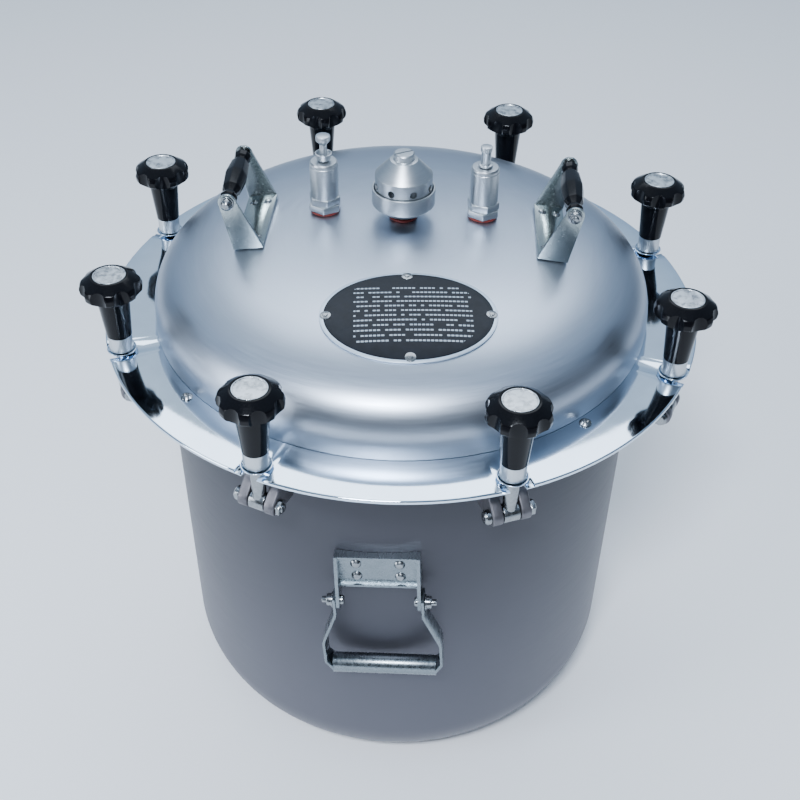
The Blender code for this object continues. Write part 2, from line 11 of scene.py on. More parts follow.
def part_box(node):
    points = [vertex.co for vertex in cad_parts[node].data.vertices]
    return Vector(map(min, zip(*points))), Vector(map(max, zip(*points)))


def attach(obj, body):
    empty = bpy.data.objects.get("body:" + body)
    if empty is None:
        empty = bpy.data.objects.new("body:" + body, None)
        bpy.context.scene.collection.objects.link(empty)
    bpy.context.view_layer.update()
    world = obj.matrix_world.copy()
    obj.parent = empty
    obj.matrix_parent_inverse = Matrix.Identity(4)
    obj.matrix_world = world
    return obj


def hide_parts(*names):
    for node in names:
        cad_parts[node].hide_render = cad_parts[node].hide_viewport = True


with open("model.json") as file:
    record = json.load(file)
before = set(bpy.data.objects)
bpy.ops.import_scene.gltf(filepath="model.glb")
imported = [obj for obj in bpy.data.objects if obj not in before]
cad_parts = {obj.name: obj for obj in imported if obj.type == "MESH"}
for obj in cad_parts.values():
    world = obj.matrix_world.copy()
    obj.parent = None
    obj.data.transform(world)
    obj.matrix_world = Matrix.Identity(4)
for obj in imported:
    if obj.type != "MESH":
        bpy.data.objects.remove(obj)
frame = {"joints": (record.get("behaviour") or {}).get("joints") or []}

bl_info = {
    "name": "Clamp-lid pressure pot",
    "version": (1, 0, 0),
    "blender": (4, 5, 0),
    "location": "3D View > Sidebar > Pressure pot",
    "description": "Builds the pot, its lid, clamps, valves, handles and bails on the packed frame",
    "category": "Add Mesh",
}

MM = 0.001
SIDES = ("left", "right")
CLAMPS = range(1, 9)


# ---------------------------------------------------------------- the frame's own sizes


def joint(name):
    return next(entry for entry in frame["joints"] if entry["name"] == name)


FLANGE_LOW, FLANGE_TOP = (corner.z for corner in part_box("lid_flange"))
FLANGE_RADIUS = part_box("lid_flange")[1].x
DOME_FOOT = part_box("lid_dome")[0].z
DOME_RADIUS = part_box("lid_dome")[1].x
DOME_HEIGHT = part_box("lid_dome")[1].z - DOME_FOOT
POT_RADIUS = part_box("pot_body")[1].x
POT_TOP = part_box("pot_body")[1].z
CLAMP_PIVOT = Vector(joint("clamp_1_swing")["pos_m"])
CLAMP_RADIUS = CLAMP_PIVOT.xy.length
PIVOT_DROP = FLANGE_TOP - CLAMP_PIVOT.z


def centre_of(node):
    low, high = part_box(node)
    return (low + high) / 2


# ---------------------------------------------------------------- sizes and colours to change


def size(name, default, description):
    """A length in metres."""
    return FloatProperty(
        name=name, description=description, default=default, min=0, unit="LENGTH", subtype="DISTANCE"
    )


def colour(name, default, description):
    """A colour, given as an sRGB hex value."""
    return FloatVectorProperty(
        name=name, description=description, default=linear(default), size=3, min=0, max=1, subtype="COLOR"
    )


def linear(hex_value):
    """An sRGB hex value as linear red, green and blue."""
    found = []
    for start in (0, 2, 4):
        level = int(hex_value[start : start + 2], 16) / 255
        found.append(level / 12.92 if level <= 0.04045 else ((level + 0.055) / 1.055) ** 2.4)
    return found


class POT_PG_shell(bpy.types.PropertyGroup):
    wall: size("Wall", 3.5 * MM, "Thickness of the pot's wall")
    base_corner: size("Base corner", 66 * MM, "Outer radius between wall and base")
    rim_thickness: size("Rim thickness", 8 * MM, "Height of the ring under the lid")
    ear_radius: size("Ear radius", 8.5 * MM, "Round end of each clamp ear")
    ear_thickness: size("Ear thickness", 9 * MM, "Thickness of each clamp ear")
    ear_centre: size("Ear offset", 12.2 * MM, "Middle of an ear from the middle of its clamp")


class POT_PG_lid(bpy.types.PropertyGroup):
    dome_power: FloatProperty(
        name="Dome fullness", description="Exponent of the dome's outline: 2 is an ellipse", default=3.04,
        min=2,
    )
    dome_wall: size("Dome wall", 4 * MM, "Thickness of the dome")
    slot_half_width: size("Slot half width", 7 * MM, "Half the width of each bolt slot in the flange")
    relief_start: size("Relief start", 4 * MM, "Start of the washer's relief, outside the bolt")
    relief_depth: size("Relief depth", 2.1 * MM, "Depth of the washer's relief")
    plate_x: FloatProperty(name="Plate X", description="Plate's centre", default=12.5 * MM, unit="LENGTH")
    plate_y: FloatProperty(name="Plate Y", description="Plate's centre", default=-131 * MM, unit="LENGTH")
    plate_length: size("Plate half length", 73 * MM, "Half the length of the oval plate")
    plate_width: size("Plate half width", 52 * MM, "Half the width of the oval plate")
    plate_turn: FloatProperty(
        name="Plate turn", description="How far the plate is turned on the lid", default=math.radians(4.7),
        unit="ROTATION", subtype="ANGLE",
    )
    screw_circle: size("Screw circle", 235.5 * MM, "Radius of the circle of flange screws")
    screw_angle: FloatProperty(
        name="First screw", description="Angle of the first flange screw", default=math.radians(-136.8),
        unit="ROTATION", subtype="ANGLE",
    )


class POT_PG_clamps(bpy.types.PropertyGroup):
    knob_radius: size("Knob radius", 26.5 * MM, "Radius of the star knob over its lobes")
    knob_top: size("Knob height", 79.3 * MM, "Top of the knob above the flange")
    lobes: IntProperty(name="Lobes", description="Number of lobes on the star knob", default=8, min=3)
    insert_radius: size("Insert radius", 14 * MM, "Radius of the silver disc in the knob")
    ferrule_radius: size("Ferrule radius", 10.5 * MM, "Radius of the ferrule at the knob's foot")
    ferrule_top: size("Ferrule height", 18 * MM, "Top of the ferrule above the flange")
    shank_radius: size("Shank radius", 6 * MM, "Radius of the swing bolt")
    pitch: size("Thread pitch", 1.75 * MM, "Pitch of the swing bolt's thread")


class POT_PG_handles(bpy.types.PropertyGroup):
    sheet: size("Handle sheet", 2.5 * MM, "Thickness of the lid handle's bracket")
    foot: size("Handle foot", 27 * MM, "Width of the bracket's base")
    length: size("Handle length", 92 * MM, "Length of the bracket's base")
    lean: size("Cheek lean", 9 * MM, "How far each cheek leans outwards at the grip")
    height: size("Cheek height", 47 * MM, "Grip's axis above the bracket's base")
    tilt: FloatProperty(
        name="Handle tilt", description="Slope of the dome under the handle", default=math.radians(7.7),
        unit="ROTATION", subtype="ANGLE",
    )
    bail_sheet: size("Bail bracket sheet", 3 * MM, "Thickness of the bail's bracket")
    bail_width: size("Bail bracket width", 74.4 * MM, "Width of the bail's bracket")
    bail_height: size("Bail bracket height", 36.6 * MM, "Height of the bail bracket's back")
    bail_strip: size("Bail strip", 18 * MM, "Width of the bail's bent strip")


class POT_PG_colours(bpy.types.PropertyGroup):
    lid_metal: colour("Lid aluminium", "BAC3D0", "Satin aluminium of the dome")
    pot_metal: colour("Pot aluminium", "4A4A51", "Satin aluminium of the pot")
    mirror: colour("Polished steel", "DCEAF8", "Mirror-polished steel of the flange")
    sheet_metal: colour("Bright sheet", "A2ABAB", "Bright pressed steel of brackets and bails")
    bail_metal: colour("Bail sheet", "838B90", "Duller pressed steel of the bails")
    cast_metal: colour("Cast steel", "6E6C70", "Rim and ears")
    turned_metal: colour("Turned aluminium", "C3C8CC", "Regulator and valves")
    zinc: colour("Zinc plating", "939698", "Pins, bolts and rivets")
    bakelite: colour("Bakelite", "07070A", "Knobs and grips")
    silicone: colour("Red silicone", "6E241E", "Seals under the valves")
    rubber: colour("Black rubber", "17171A", "Lid gasket")
    enamel: colour("Slate enamel", "0F131A", "Ground of the plate")
    floor: colour("Floor", "F8F9FB", "Pale studio floor")


# ---------------------------------------------------------------- modelling by operators


def only(piece):
    """Selects this piece alone and makes it active."""
    bpy.ops.object.select_all(action="DESELECT")
    piece.select_set(True)
    bpy.context.view_layer.objects.active = piece


def named(name):
    piece = bpy.context.object
    piece.name = name
    piece.data.name = name
    return piece


def modify(piece, kind, **settings):
    """Adds a modifier with these settings and applies it."""
    only(piece)
    bpy.ops.object.modifier_add(type=kind)
    change = piece.modifiers[-1]
    for key, value in settings.items():
        setattr(change, key, value)
    bpy.ops.object.modifier_apply(modifier=change.name)


def soften(piece, width, segments=2, angle=35):
    modify(
        piece, "BEVEL", width=width, segments=segments, limit_method="ANGLE",
        angle_limit=math.radians(angle), use_clamp_overlap=True, harden_normals=False,
    )


def combine(piece, tools, operation):
    """Joins the tools to the piece or cuts them from it, and removes them."""
    for tool in tools:
        modify(piece, "BOOLEAN", operation=operation, solver="EXACT", object=tool)
        bpy.data.objects.remove(tool, do_unlink=True)


def rounded(corners, steps=5):
    """The outline with an arc at each corner that has a radius as its third number."""
    points = []
    for i, corner in enumerate(corners):
        here = Vector(corner[:2])
        if len(corner) < 3:
            points.append(here)
            continue
        before = (Vector(corners[i - 1][:2]) - here).normalized()
        after = (Vector(corners[(i + 1) % len(corners)][:2]) - here).normalized()
        half = before.angle(after) / 2
        reach = corner[2] / math.tan(half)
        centre = here + (before + after).normalized() * corner[2] / math.sin(half)
        start, end = here + before * reach - centre, here + after * reach - centre
        for step in range(steps + 1):
            points.append(centre + start.slerp(end, step / steps).normalized() * corner[2])
    return points


def in_mm(corners):
    return [tuple(value * MM for value in corner) for corner in corners]


def path(name, points):
    """A chain of edges through the points, left in edit mode with everything selected."""
    bpy.ops.object.select_all(action="DESELECT")
    bpy.ops.mesh.primitive_plane_add(size=MM)
    piece = named(name)
    bpy.ops.object.mode_set(mode="EDIT")
    bpy.ops.mesh.select_mode(type="VERT")
    bpy.ops.mesh.select_all(action="SELECT")
    bpy.ops.mesh.merge(type="CENTER")
    bpy.ops.transform.translate(value=points[0])
    for last, point in zip(points, points[1:]):
        bpy.ops.mesh.extrude_region_move(TRANSFORM_OT_translate={"value": Vector(point) - Vector(last)})
    bpy.ops.mesh.select_all(action="SELECT")
    return piece


def lathe(name, outline, sides=64, closed=False):
    """Turns an outline of (radius, height) about Z. A ring's outline is closed."""
    ends = list(outline) + list(outline[:1]) if closed else outline
    piece = path(name, [(radius, 0, height) for radius, height in ends])
    bpy.ops.mesh.spin(steps=sides, angle=math.tau, center=(0, 0, 0), axis=(0, 0, 1))
    clean()
    return piece


def clean():
    """Merges doubles, points the faces outwards and leaves edit mode."""
    bpy.ops.mesh.select_all(action="SELECT")
    bpy.ops.mesh.remove_doubles(threshold=1e-6)
    bpy.ops.mesh.normals_make_consistent(inside=False)
    bpy.ops.object.mode_set(mode="OBJECT")


def slab(name, outline, thickness):
    """A flat outline of (x, z) points, thickened evenly about Y = 0."""
    points = [(x, -thickness / 2, z) for x, z in outline]
    piece = path(name, points + points[:1])
    bpy.ops.mesh.remove_doubles(threshold=1e-6)
    bpy.ops.mesh.edge_face_add()
    bpy.ops.mesh.extrude_region_move(TRANSFORM_OT_translate={"value": (0, thickness, 0)})
    clean()
    return piece


def block(name, low, high):
    low, high = Vector(low), Vector(high)
    bpy.ops.object.select_all(action="DESELECT")
    bpy.ops.mesh.primitive_cube_add(size=1, location=(low + high) / 2, scale=high - low)
    piece = named(name)
    bpy.ops.object.transform_apply(location=True, rotation=True, scale=True)
    return piece


def rod(name, radius, length, centre=(0, 0, 0), turn=(0, 0, 0), sides=32):
    """A cylinder about Z, turned and moved."""
    bpy.ops.object.select_all(action="DESELECT")
    bpy.ops.mesh.primitive_cylinder_add(
        vertices=sides, radius=radius, depth=length, location=centre, rotation=turn
    )
    piece = named(name)
    bpy.ops.object.transform_apply(location=True, rotation=True, scale=True)
    return piece


def moved(piece, matrix):
    """The piece with its place and turn worked into its mesh."""
    only(piece)
    piece.matrix_world = matrix
    bpy.ops.object.transform_apply(location=True, rotation=True, scale=True)
    return piece


def copy_of(piece, name, matrix):
    only(piece)
    bpy.ops.object.duplicate(linked=False)
    return moved(named(name), matrix)


def joined(name, pieces):
    """Several shapes of one finish as one object."""
    only(pieces[0])
    for piece in pieces:
        piece.select_set(True)
    bpy.ops.object.join()
    return named(name)


def settle(piece, body, finish, nodes=(), angle=32):
    """Shades and paints a finished piece, ties it to its body and hides the CAD nodes it stands in for."""
    only(piece)
    bpy.ops.object.transform_apply(location=True, rotation=True, scale=True)
    bpy.ops.object.shade_smooth_by_angle(angle=math.radians(angle))
    piece.data.materials.clear()
    piece.data.materials.append(finish)
    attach(piece, body)
    if nodes:
        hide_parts(*nodes)
    return piece


def turn_about_z(angle):
    return Matrix.Rotation(angle, 4, "Z")


ACROSS = Matrix.Rotation(math.pi / 2, 4, "X")       # lays a turned piece along -Y


# ---------------------------------------------------------------- materials


def new_material(name):
    made = bpy.data.materials.new(name)
    made.use_nodes = True
    return made, made.node_tree.nodes["Principled BSDF"]


def add_node(material, kind, inputs=(), **settings):
    """A node with its settings. inputs gives a socket's value, or the output linked to it."""
    tree = material.node_tree
    node = tree.nodes.new(kind)
    for key, value in settings.items():
        setattr(node, key, value)
    for socket, value in dict(inputs).items():
        if isinstance(value, bpy.types.NodeSocket):
            tree.links.new(value, node.inputs[socket])
        else:
            node.inputs[socket].default_value = value
    return node


def feed(material, output, socket):
    material.node_tree.links.new(output, socket)


def shade(base, factor):
    return (*[min(channel * factor, 1) for channel in base], 1)


def two_tone(material, pattern, base, dark, light, low=0.3, high=0.7):
    """The base colour between a darker and a lighter tone, by a pattern from 0 to 1."""
    ramp = add_node(material, "ShaderNodeValToRGB", {"Fac": pattern})
    ramp.color_ramp.elements[0].position = low
    ramp.color_ramp.elements[1].position = high
    ramp.color_ramp.elements[0].color = shade(base, dark)
    ramp.color_ramp.elements[1].color = shade(base, light)
    return ramp.outputs["Color"]


def spread(material, pattern, low, high):
    """A number from low to high, by a pattern from 0.3 to 0.7."""
    node = add_node(
        material, "ShaderNodeMapRange",
        {"Value": pattern, "From Min": 0.3, "From Max": 0.7, "To Min": low, "To Max": high},
    )
    return node.outputs["Result"]


def raise_surface(material, shader, pattern, strength, distance):
    bump = add_node(
        material, "ShaderNodeBump", {"Height": pattern, "Strength": strength, "Distance": distance}
    )
    feed(material, bump.outputs["Normal"], shader.inputs["Normal"])


def grain(material, millimetres, detail=3.0, stretch=(1, 1, 1)):
    """Noise with features of about this size, on object coordinates."""
    where = add_node(material, "ShaderNodeTexCoord").outputs["Object"]
    mapping = add_node(material, "ShaderNodeMapping", {"Vector": where, "Scale": stretch})
    noise = add_node(
        material, "ShaderNodeTexNoise",
        {"Vector": mapping.outputs["Vector"], "Scale": 1 / (millimetres * MM), "Detail": detail},
    )
    return noise.outputs["Fac"]


def lathe_marks(material, millimetres, around=6.0, centre=(0, 0, 0)):
    """Fine rings about a vertical axis: noise that changes fast with radius and height, slowly around."""
    where = add_node(material, "ShaderNodeTexCoord").outputs["Object"]
    local = add_node(
        material, "ShaderNodeVectorMath", {0: where, 1: centre}, operation="SUBTRACT"
    ).outputs[0]
    flat = add_node(
        material, "ShaderNodeVectorMath", {0: local, 1: (1, 1, 0)}, operation="MULTIPLY"
    ).outputs[0]
    radius = add_node(material, "ShaderNodeVectorMath", {0: flat}, operation="LENGTH").outputs["Value"]
    direction = add_node(material, "ShaderNodeVectorMath", {0: flat}, operation="NORMALIZE").outputs[0]
    height = add_node(material, "ShaderNodeSeparateXYZ", {"Vector": local}).outputs["Z"]
    fine = 1 / (millimetres * MM)
    outward = add_node(
        material, "ShaderNodeMath", {0: radius, 1: fine}, operation="MULTIPLY"
    ).outputs[0]
    upward = add_node(material, "ShaderNodeMath", {0: height, 1: fine}, operation="MULTIPLY").outputs[0]
    stretched = add_node(
        material, "ShaderNodeVectorMath", {0: direction, "Scale": around}, operation="SCALE"
    ).outputs[0]
    ring = add_node(material, "ShaderNodeCombineXYZ", {"Z": outward}).outputs[0]
    place = add_node(material, "ShaderNodeVectorMath", {0: stretched, 1: ring}, operation="ADD").outputs[0]
    noise = add_node(
        material, "ShaderNodeTexNoise",
        {"Vector": place, "W": upward, "Scale": 1.0, "Detail": 3.0, "Roughness": 0.6},
        noise_dimensions="4D",
    )
    return noise.outputs["Fac"]


def painted_light_and_shade_by_height(material, tone, foot, top):
    """A tone scaled by height: by foot at the pot's base and by top at its upper edge; on the pot this is
    painted light low on the wall and painted shade under the flange.
    """
    where = add_node(material, "ShaderNodeTexCoord").outputs["Object"]
    height = add_node(material, "ShaderNodeSeparateXYZ", {"Vector": where}).outputs["Z"]
    level = add_node(
        material, "ShaderNodeMapRange",
        {"Value": height, "From Min": 0.0, "From Max": POT_TOP, "To Min": foot, "To Max": top},
        interpolation_type="SMOOTHSTEP",
    ).outputs["Result"]
    scaled = add_node(material, "ShaderNodeVectorMath", {0: tone, "Scale": level}, operation="SCALE")
    return scaled.outputs[0]


def satin_spun_metal(name, base, metallic, roughness, marks, stretch, foot=1.0, top=1.0):
    """Satin aluminium, brushed round its axis: reflections drawn out across the brushing, and faint rings;
    foot and top scale the tone by height as painted light and painted shade.
    """
    made, shader = new_material(name)
    shader.inputs["Metallic"].default_value = metallic
    shader.inputs["Anisotropic"].default_value = stretch
    rings = lathe_marks(made, marks)
    clouds = grain(made, 90, 2.0)
    mixed = add_node(
        made, "ShaderNodeMix", {"Factor": 0.35, "A": rings, "B": clouds}, data_type="FLOAT"
    ).outputs["Result"]
    tone = two_tone(made, mixed, base, 0.95, 1.04)
    # Painted shade and light: the base colour is scaled by height, darker at the top and lighter at the foot
    # wherever foot and top differ from 1.
    feed(made, painted_light_and_shade_by_height(made, tone, foot, top), shader.inputs["Base Color"])
    feed(made, spread(made, rings, roughness - 0.03, roughness + 0.04), shader.inputs["Roughness"])
    raise_surface(made, shader, rings, 0.04, 0.03 * MM)
    return made


def mirror_polished_steel(base):
    """Polished stainless steel: a clear mirror with a slow waviness and faint wiping marks."""
    made, shader = new_material("mirror_polished_steel")
    shader.inputs["Metallic"].default_value = 1.0
    wipes = grain(made, 22, 4.0, (1, 1, 3))
    feed(made, two_tone(made, wipes, base, 0.96, 1.02), shader.inputs["Base Color"])
    feed(made, spread(made, wipes, 0.045, 0.10), shader.inputs["Roughness"])
    raise_surface(made, shader, grain(made, 60, 1.0), 0.10, 0.3 * MM)
    return made


def pressed_sheet(name, base, roughness):
    """Cold-rolled sheet steel: half-sharp reflections, rolling lines and small handling marks."""
    made, shader = new_material(name)
    shader.inputs["Metallic"].default_value = 1.0
    rolling = grain(made, 2.5, 4.0, (1, 0.08, 1))
    marks = grain(made, 14, 3.0)
    feed(made, two_tone(made, marks, base, 0.92, 1.06), shader.inputs["Base Color"])
    feed(made, spread(made, rolling, roughness - 0.06, roughness + 0.06), shader.inputs["Roughness"])
    raise_surface(made, shader, grain(made, 30, 1.0), 0.05, 0.2 * MM)
    return made


def machined_cast_steel(base):
    """Cast steel, tumbled and left bare: grey, dull and faintly pitted."""
    made, shader = new_material("tumbled_cast_steel")
    shader.inputs["Metallic"].default_value = 0.85
    pits = grain(made, 1.6, 5.0)
    feed(made, two_tone(made, grain(made, 12, 3.0), base, 0.75, 1.2), shader.inputs["Base Color"])
    feed(made, spread(made, pits, 0.36, 0.52), shader.inputs["Roughness"])
    raise_surface(made, shader, pits, 0.25, 0.1 * MM)
    return made


def turned_aluminium(name, base, centre):
    """Aluminium turned on a lathe: fine tool rings about the part's own axis and a bright clean face."""
    made, shader = new_material(name)
    shader.inputs["Metallic"].default_value = 1.0
    rings = lathe_marks(made, 0.5, 2.0, centre)
    feed(made, two_tone(made, rings, base, 0.93, 1.05), shader.inputs["Base Color"])
    feed(made, spread(made, rings, 0.32, 0.4), shader.inputs["Roughness"])
    raise_surface(made, shader, rings, 0.08, 0.04 * MM)
    return made


def zinc_plating(base):
    """Bright zinc over turned steel: a light, slightly mottled shine."""
    made, shader = new_material("bright_zinc_plating")
    shader.inputs["Metallic"].default_value = 1.0
    mottle = grain(made, 3.0, 3.0)
    feed(made, two_tone(made, mottle, base, 0.82, 1.1), shader.inputs["Base Color"])
    feed(made, spread(made, mottle, 0.16, 0.3), shader.inputs["Roughness"])
    raise_surface(made, shader, mottle, 0.12, 0.08 * MM)
    return made


def moulded_bakelite(base):
    """Black phenolic moulding: deep gloss with a slight flow ripple and dust dulling in places."""
    made, shader = new_material("moulded_black_bakelite")
    shader.inputs["Specular IOR Level"].default_value = 0.16
    ripple = grain(made, 9, 2.0)
    dust = grain(made, 1.2, 4.0)
    feed(made, two_tone(made, dust, base, 0.8, 1.6), shader.inputs["Base Color"])
    feed(made, spread(made, dust, 0.12, 0.2), shader.inputs["Roughness"])
    raise_surface(made, shader, ripple, 0.08, 0.2 * MM)
    return made


def crinkled_foil(base):
    """The knob's pressed silver disc: thin foil with creases that catch the light."""
    made, shader = new_material("pressed_silver_foil")
    shader.inputs["Metallic"].default_value = 1.0
    creases = grain(made, 5.5, 3.0)
    feed(made, two_tone(made, creases, base, 0.72, 1.2, 0.38, 0.56), shader.inputs["Base Color"])
    feed(made, spread(made, creases, 0.24, 0.4), shader.inputs["Roughness"])
    raise_surface(made, shader, creases, 0.2, 0.4 * MM)
    return made


def matt_rubber(name, base, roughness):
    """Moulded rubber or silicone: matt, with a soft bloom and a fine dusty grain."""
    made, shader = new_material(name)
    shader.inputs["IOR"].default_value = 1.42
    shader.inputs["Sheen Weight"].default_value = 0.08
    dust = grain(made, 0.8, 4.0)
    feed(made, two_tone(made, dust, base, 0.85, 1.2), shader.inputs["Base Color"])
    feed(made, spread(made, dust, roughness - 0.08, roughness + 0.08), shader.inputs["Roughness"])
    raise_surface(made, shader, dust, 0.2, 0.08 * MM)
    return made


def printed_plate(settings, base, silver):
    """A slate-blue enamelled plate: bare silver border and rows of plain ruled dashes, no lettering."""
    made, shader = new_material("enamelled_aluminium_plate")
    where = add_node(made, "ShaderNodeTexCoord").outputs["Object"]
    centre = add_node(
        made, "ShaderNodeVectorMath",
        {0: where, 1: (settings.plate_x, settings.plate_y, 0)}, operation="SUBTRACT",
    ).outputs[0]
    level = add_node(
        made, "ShaderNodeVectorRotate", {"Vector": centre, "Angle": -settings.plate_turn},
        rotation_type="Z_AXIS",
    ).outputs[0]
    share = add_node(
        made, "ShaderNodeVectorMath",
        {0: level, 1: (1 / settings.plate_length, 1 / settings.plate_width, 0)}, operation="MULTIPLY",
    ).outputs[0]
    reach = add_node(made, "ShaderNodeVectorMath", {0: share}, operation="LENGTH").outputs["Value"]
    axes = add_node(made, "ShaderNodeSeparateXYZ", {"Vector": level}).outputs
    rows, row_number = repeated(made, axes["Y"], 5.6 * MM)
    dashes, dash_number = repeated(made, axes["X"], 3.3 * MM)
    key = add_node(made, "ShaderNodeCombineXYZ", {"X": row_number, "Y": dash_number}).outputs[0]
    white_noise = add_node(made, "ShaderNodeTexWhiteNoise", {"Vector": key}, noise_dimensions="3D")
    chance = white_noise.outputs["Value"]
    in_row = between(made, rows, 0.35, 0.65)
    in_dash = between(made, dashes, 0.12, 0.86)
    kept = add_node(made, "ShaderNodeMath", {0: chance, 1: 0.16}, operation="GREATER_THAN").outputs[0]
    wide = between(made, axes["X"], -45 * MM, 52 * MM)
    tall = between(made, axes["Y"], -33 * MM, 34 * MM)
    inside = add_node(made, "ShaderNodeMath", {0: reach, 1: 0.84}, operation="LESS_THAN").outputs[0]
    ink = in_row
    for mask in (in_dash, kept, wide, tall, inside):
        ink = add_node(made, "ShaderNodeMath", {0: ink, 1: mask}, operation="MULTIPLY").outputs[0]
    faded = add_node(made, "ShaderNodeMath", {0: ink, 1: 0.5}, operation="MULTIPLY").outputs[0]
    border = add_node(made, "ShaderNodeMath", {0: reach, 1: 0.958}, operation="GREATER_THAN").outputs[0]
    bare = add_node(made, "ShaderNodeMath", {0: faded, 1: border}, operation="MAXIMUM").outputs[0]
    ground = two_tone(made, grain(made, 7, 3.0), base, 0.8, 1.3)
    mix = add_node(
        made, "ShaderNodeMix", {"Factor": bare, 6: ground, 7: (*silver, 1)}, data_type="RGBA"
    )
    feed(made, mix.outputs[2], shader.inputs["Base Color"])
    feed(made, border, shader.inputs["Metallic"])
    shader.inputs["Specular IOR Level"].default_value = 0.2
    feed(made, spread(made, grain(made, 2, 3.0), 0.34, 0.46), shader.inputs["Roughness"])
    return made


def repeated(material, value, spacing):
    """The share of the way through each repeat, and the repeat's number."""
    steps = add_node(material, "ShaderNodeMath", {0: value, 1: spacing}, operation="DIVIDE").outputs[0]
    share = add_node(material, "ShaderNodeMath", {0: steps}, operation="FRACT").outputs[0]
    number = add_node(material, "ShaderNodeMath", {0: steps}, operation="FLOOR").outputs[0]
    return share, number


def between(material, value, low, high):
    """1 where the value lies between two limits."""
    above = add_node(material, "ShaderNodeMath", {0: value, 1: low}, operation="GREATER_THAN").outputs[0]
    below = add_node(material, "ShaderNodeMath", {0: value, 1: high}, operation="LESS_THAN").outputs[0]
    return add_node(material, "ShaderNodeMath", {0: above, 1: below}, operation="MULTIPLY").outputs[0]


FINISHES = {}


def mix_finishes(scene):
    """Every finish of the pot, made once."""
    tones = scene.pot_colours
    FINISHES["dome"] = satin_spun_metal("satin_spun_aluminium_lid", tones.lid_metal, 1.0, 0.36, 1.1, 0.3)
    # The pot's tone is painted shade at the top of the wall under the flange (top=0.62) and painted light
    # toward its base (foot=1.7).
    FINISHES["pot"] = satin_spun_metal(
        "satin_aluminium_pot_with_painted_shade_and_light", tones.pot_metal, 0.6, 0.44, 1.3, 0.6, foot=1.7, top=0.62
    )
    FINISHES["mirror"] = mirror_polished_steel(tones.mirror)
    FINISHES["sheet"] = pressed_sheet("bright_pressed_sheet_steel", tones.sheet_metal, 0.22)
    FINISHES["bail"] = pressed_sheet("dulled_pressed_sheet_steel", tones.bail_metal, 0.28)
    FINISHES["cast"] = machined_cast_steel(tones.cast_metal)
    FINISHES["zinc"] = zinc_plating(tones.zinc)
    FINISHES["bakelite"] = moulded_bakelite(tones.bakelite)
    FINISHES["foil"] = crinkled_foil(tones.turned_metal)
    FINISHES["silicone"] = matt_rubber("matt_red_silicone", tones.silicone, 0.5)
    FINISHES["rubber"] = matt_rubber("matt_black_rubber", tones.rubber, 0.62)
    FINISHES["plate"] = printed_plate(scene.pot_lid, tones.enamel, tones.mirror)
    for name, node in (
        ("regulator", "regulator_cap"), ("left_valve", "left_valve_body"), ("right_valve", "right_valve_body")
    ):
        centre = centre_of(node)
        FINISHES[name] = turned_aluminium(f"turned_aluminium_{name}", tones.turned_metal, (*centre.xy, 0))


# ---------------------------------------------------------------- pot, rim and gasket


def build_pot(settings):
    corner, wall = settings.base_corner, settings.wall
    outline = [(0, 0), (POT_RADIUS, 0, corner), (POT_RADIUS, POT_TOP), (POT_RADIUS - wall, POT_TOP)]
    outline += [(POT_RADIUS - wall, wall, corner - wall), (0, wall)]
    pot = lathe("pot_shell", rounded(outline, 18), 192)
    settle(pot, "pot", FINISHES["pot"], ["pot_body"])


def build_rim(settings):
    """The ring under the lid with a pair of round ears for each clamp."""
    low, high = POT_TOP - settings.rim_thickness, POT_TOP
    inner, outer = POT_RADIUS + 0.3 * MM, 250 * MM
    outline = [(inner, high), (inner, low), (outer, low, 1.5 * MM), (outer, high, 1.5 * MM)]
    rim = lathe("rim_ring", rounded(outline), 128, closed=True)
    ears = []
    reach = settings.ear_radius
    root, pivot = POT_RADIUS + 1.5 * MM, CLAMP_PIVOT.z
    ear = [(root, pivot - reach), (CLAMP_RADIUS, pivot - reach)]
    for step in range(1, 13):
        angle = math.radians(-90 + 135 * step / 12)
        ear.append((CLAMP_RADIUS + reach * math.cos(angle), pivot + reach * math.sin(angle)))
    ear += [(outer - 1 * MM, low + 2 * MM), (root, low + 2 * MM)]
    plate = slab("ear", ear, settings.ear_thickness)
    soften(plate, 1.3 * MM, 3, 50)
    hole = rod("hole", 4.3 * MM, 30 * MM, (CLAMP_RADIUS, 0, pivot), (math.pi / 2, 0, 0))
    combine(plate, [hole], "DIFFERENCE")
    for clamp in CLAMPS:
        turn = turn_about_z(clamp_angle(clamp))
        for side in (-1, 1):
            aside = Matrix.Translation((0, side * settings.ear_centre, 0))
            ears.append(copy_of(plate, f"ear_{clamp}_{side}", turn @ aside))
    bpy.data.objects.remove(plate, do_unlink=True)
    combine(rim, ears, "UNION")
    settle(rim, "pot", FINISHES["cast"], ["pot_rim"])


def clamp_angle(clamp):
    pivot = joint(f"clamp_{clamp}_swing")["pos_m"]
    return math.atan2(pivot[1], pivot[0])


def build_gasket():
    low, high = (corner.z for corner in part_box("lid_gasket"))
    inner, outer = 227 * MM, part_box("lid_gasket")[1].x
    edge = 0.8 * MM
    outline = [(inner, high), (inner, low), (outer, low, edge), (outer, high, edge)]
    gasket = lathe("lid_gasket_ring", rounded(outline), 128, closed=True)
    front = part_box("lid_gasket")[0].y
    tab = block("tab", (19.5 * MM, front, low), (33.5 * MM, -outer + 6 * MM, high))
    soften(tab, 0.6 * MM)
    combine(gasket, [tab], "UNION")
    settle(gasket, "pot", FINISHES["rubber"], ["lid_gasket"])


# ---------------------------------------------------------------- lid


def dome_rise(settings, radius, shrink=0.0):
    """Height of the dome's surface over its foot."""
    power = settings.dome_power
    share = min(radius / (DOME_RADIUS - shrink), 1.0)
    return (DOME_HEIGHT - shrink) * (1 - share**power) ** (1 / power)


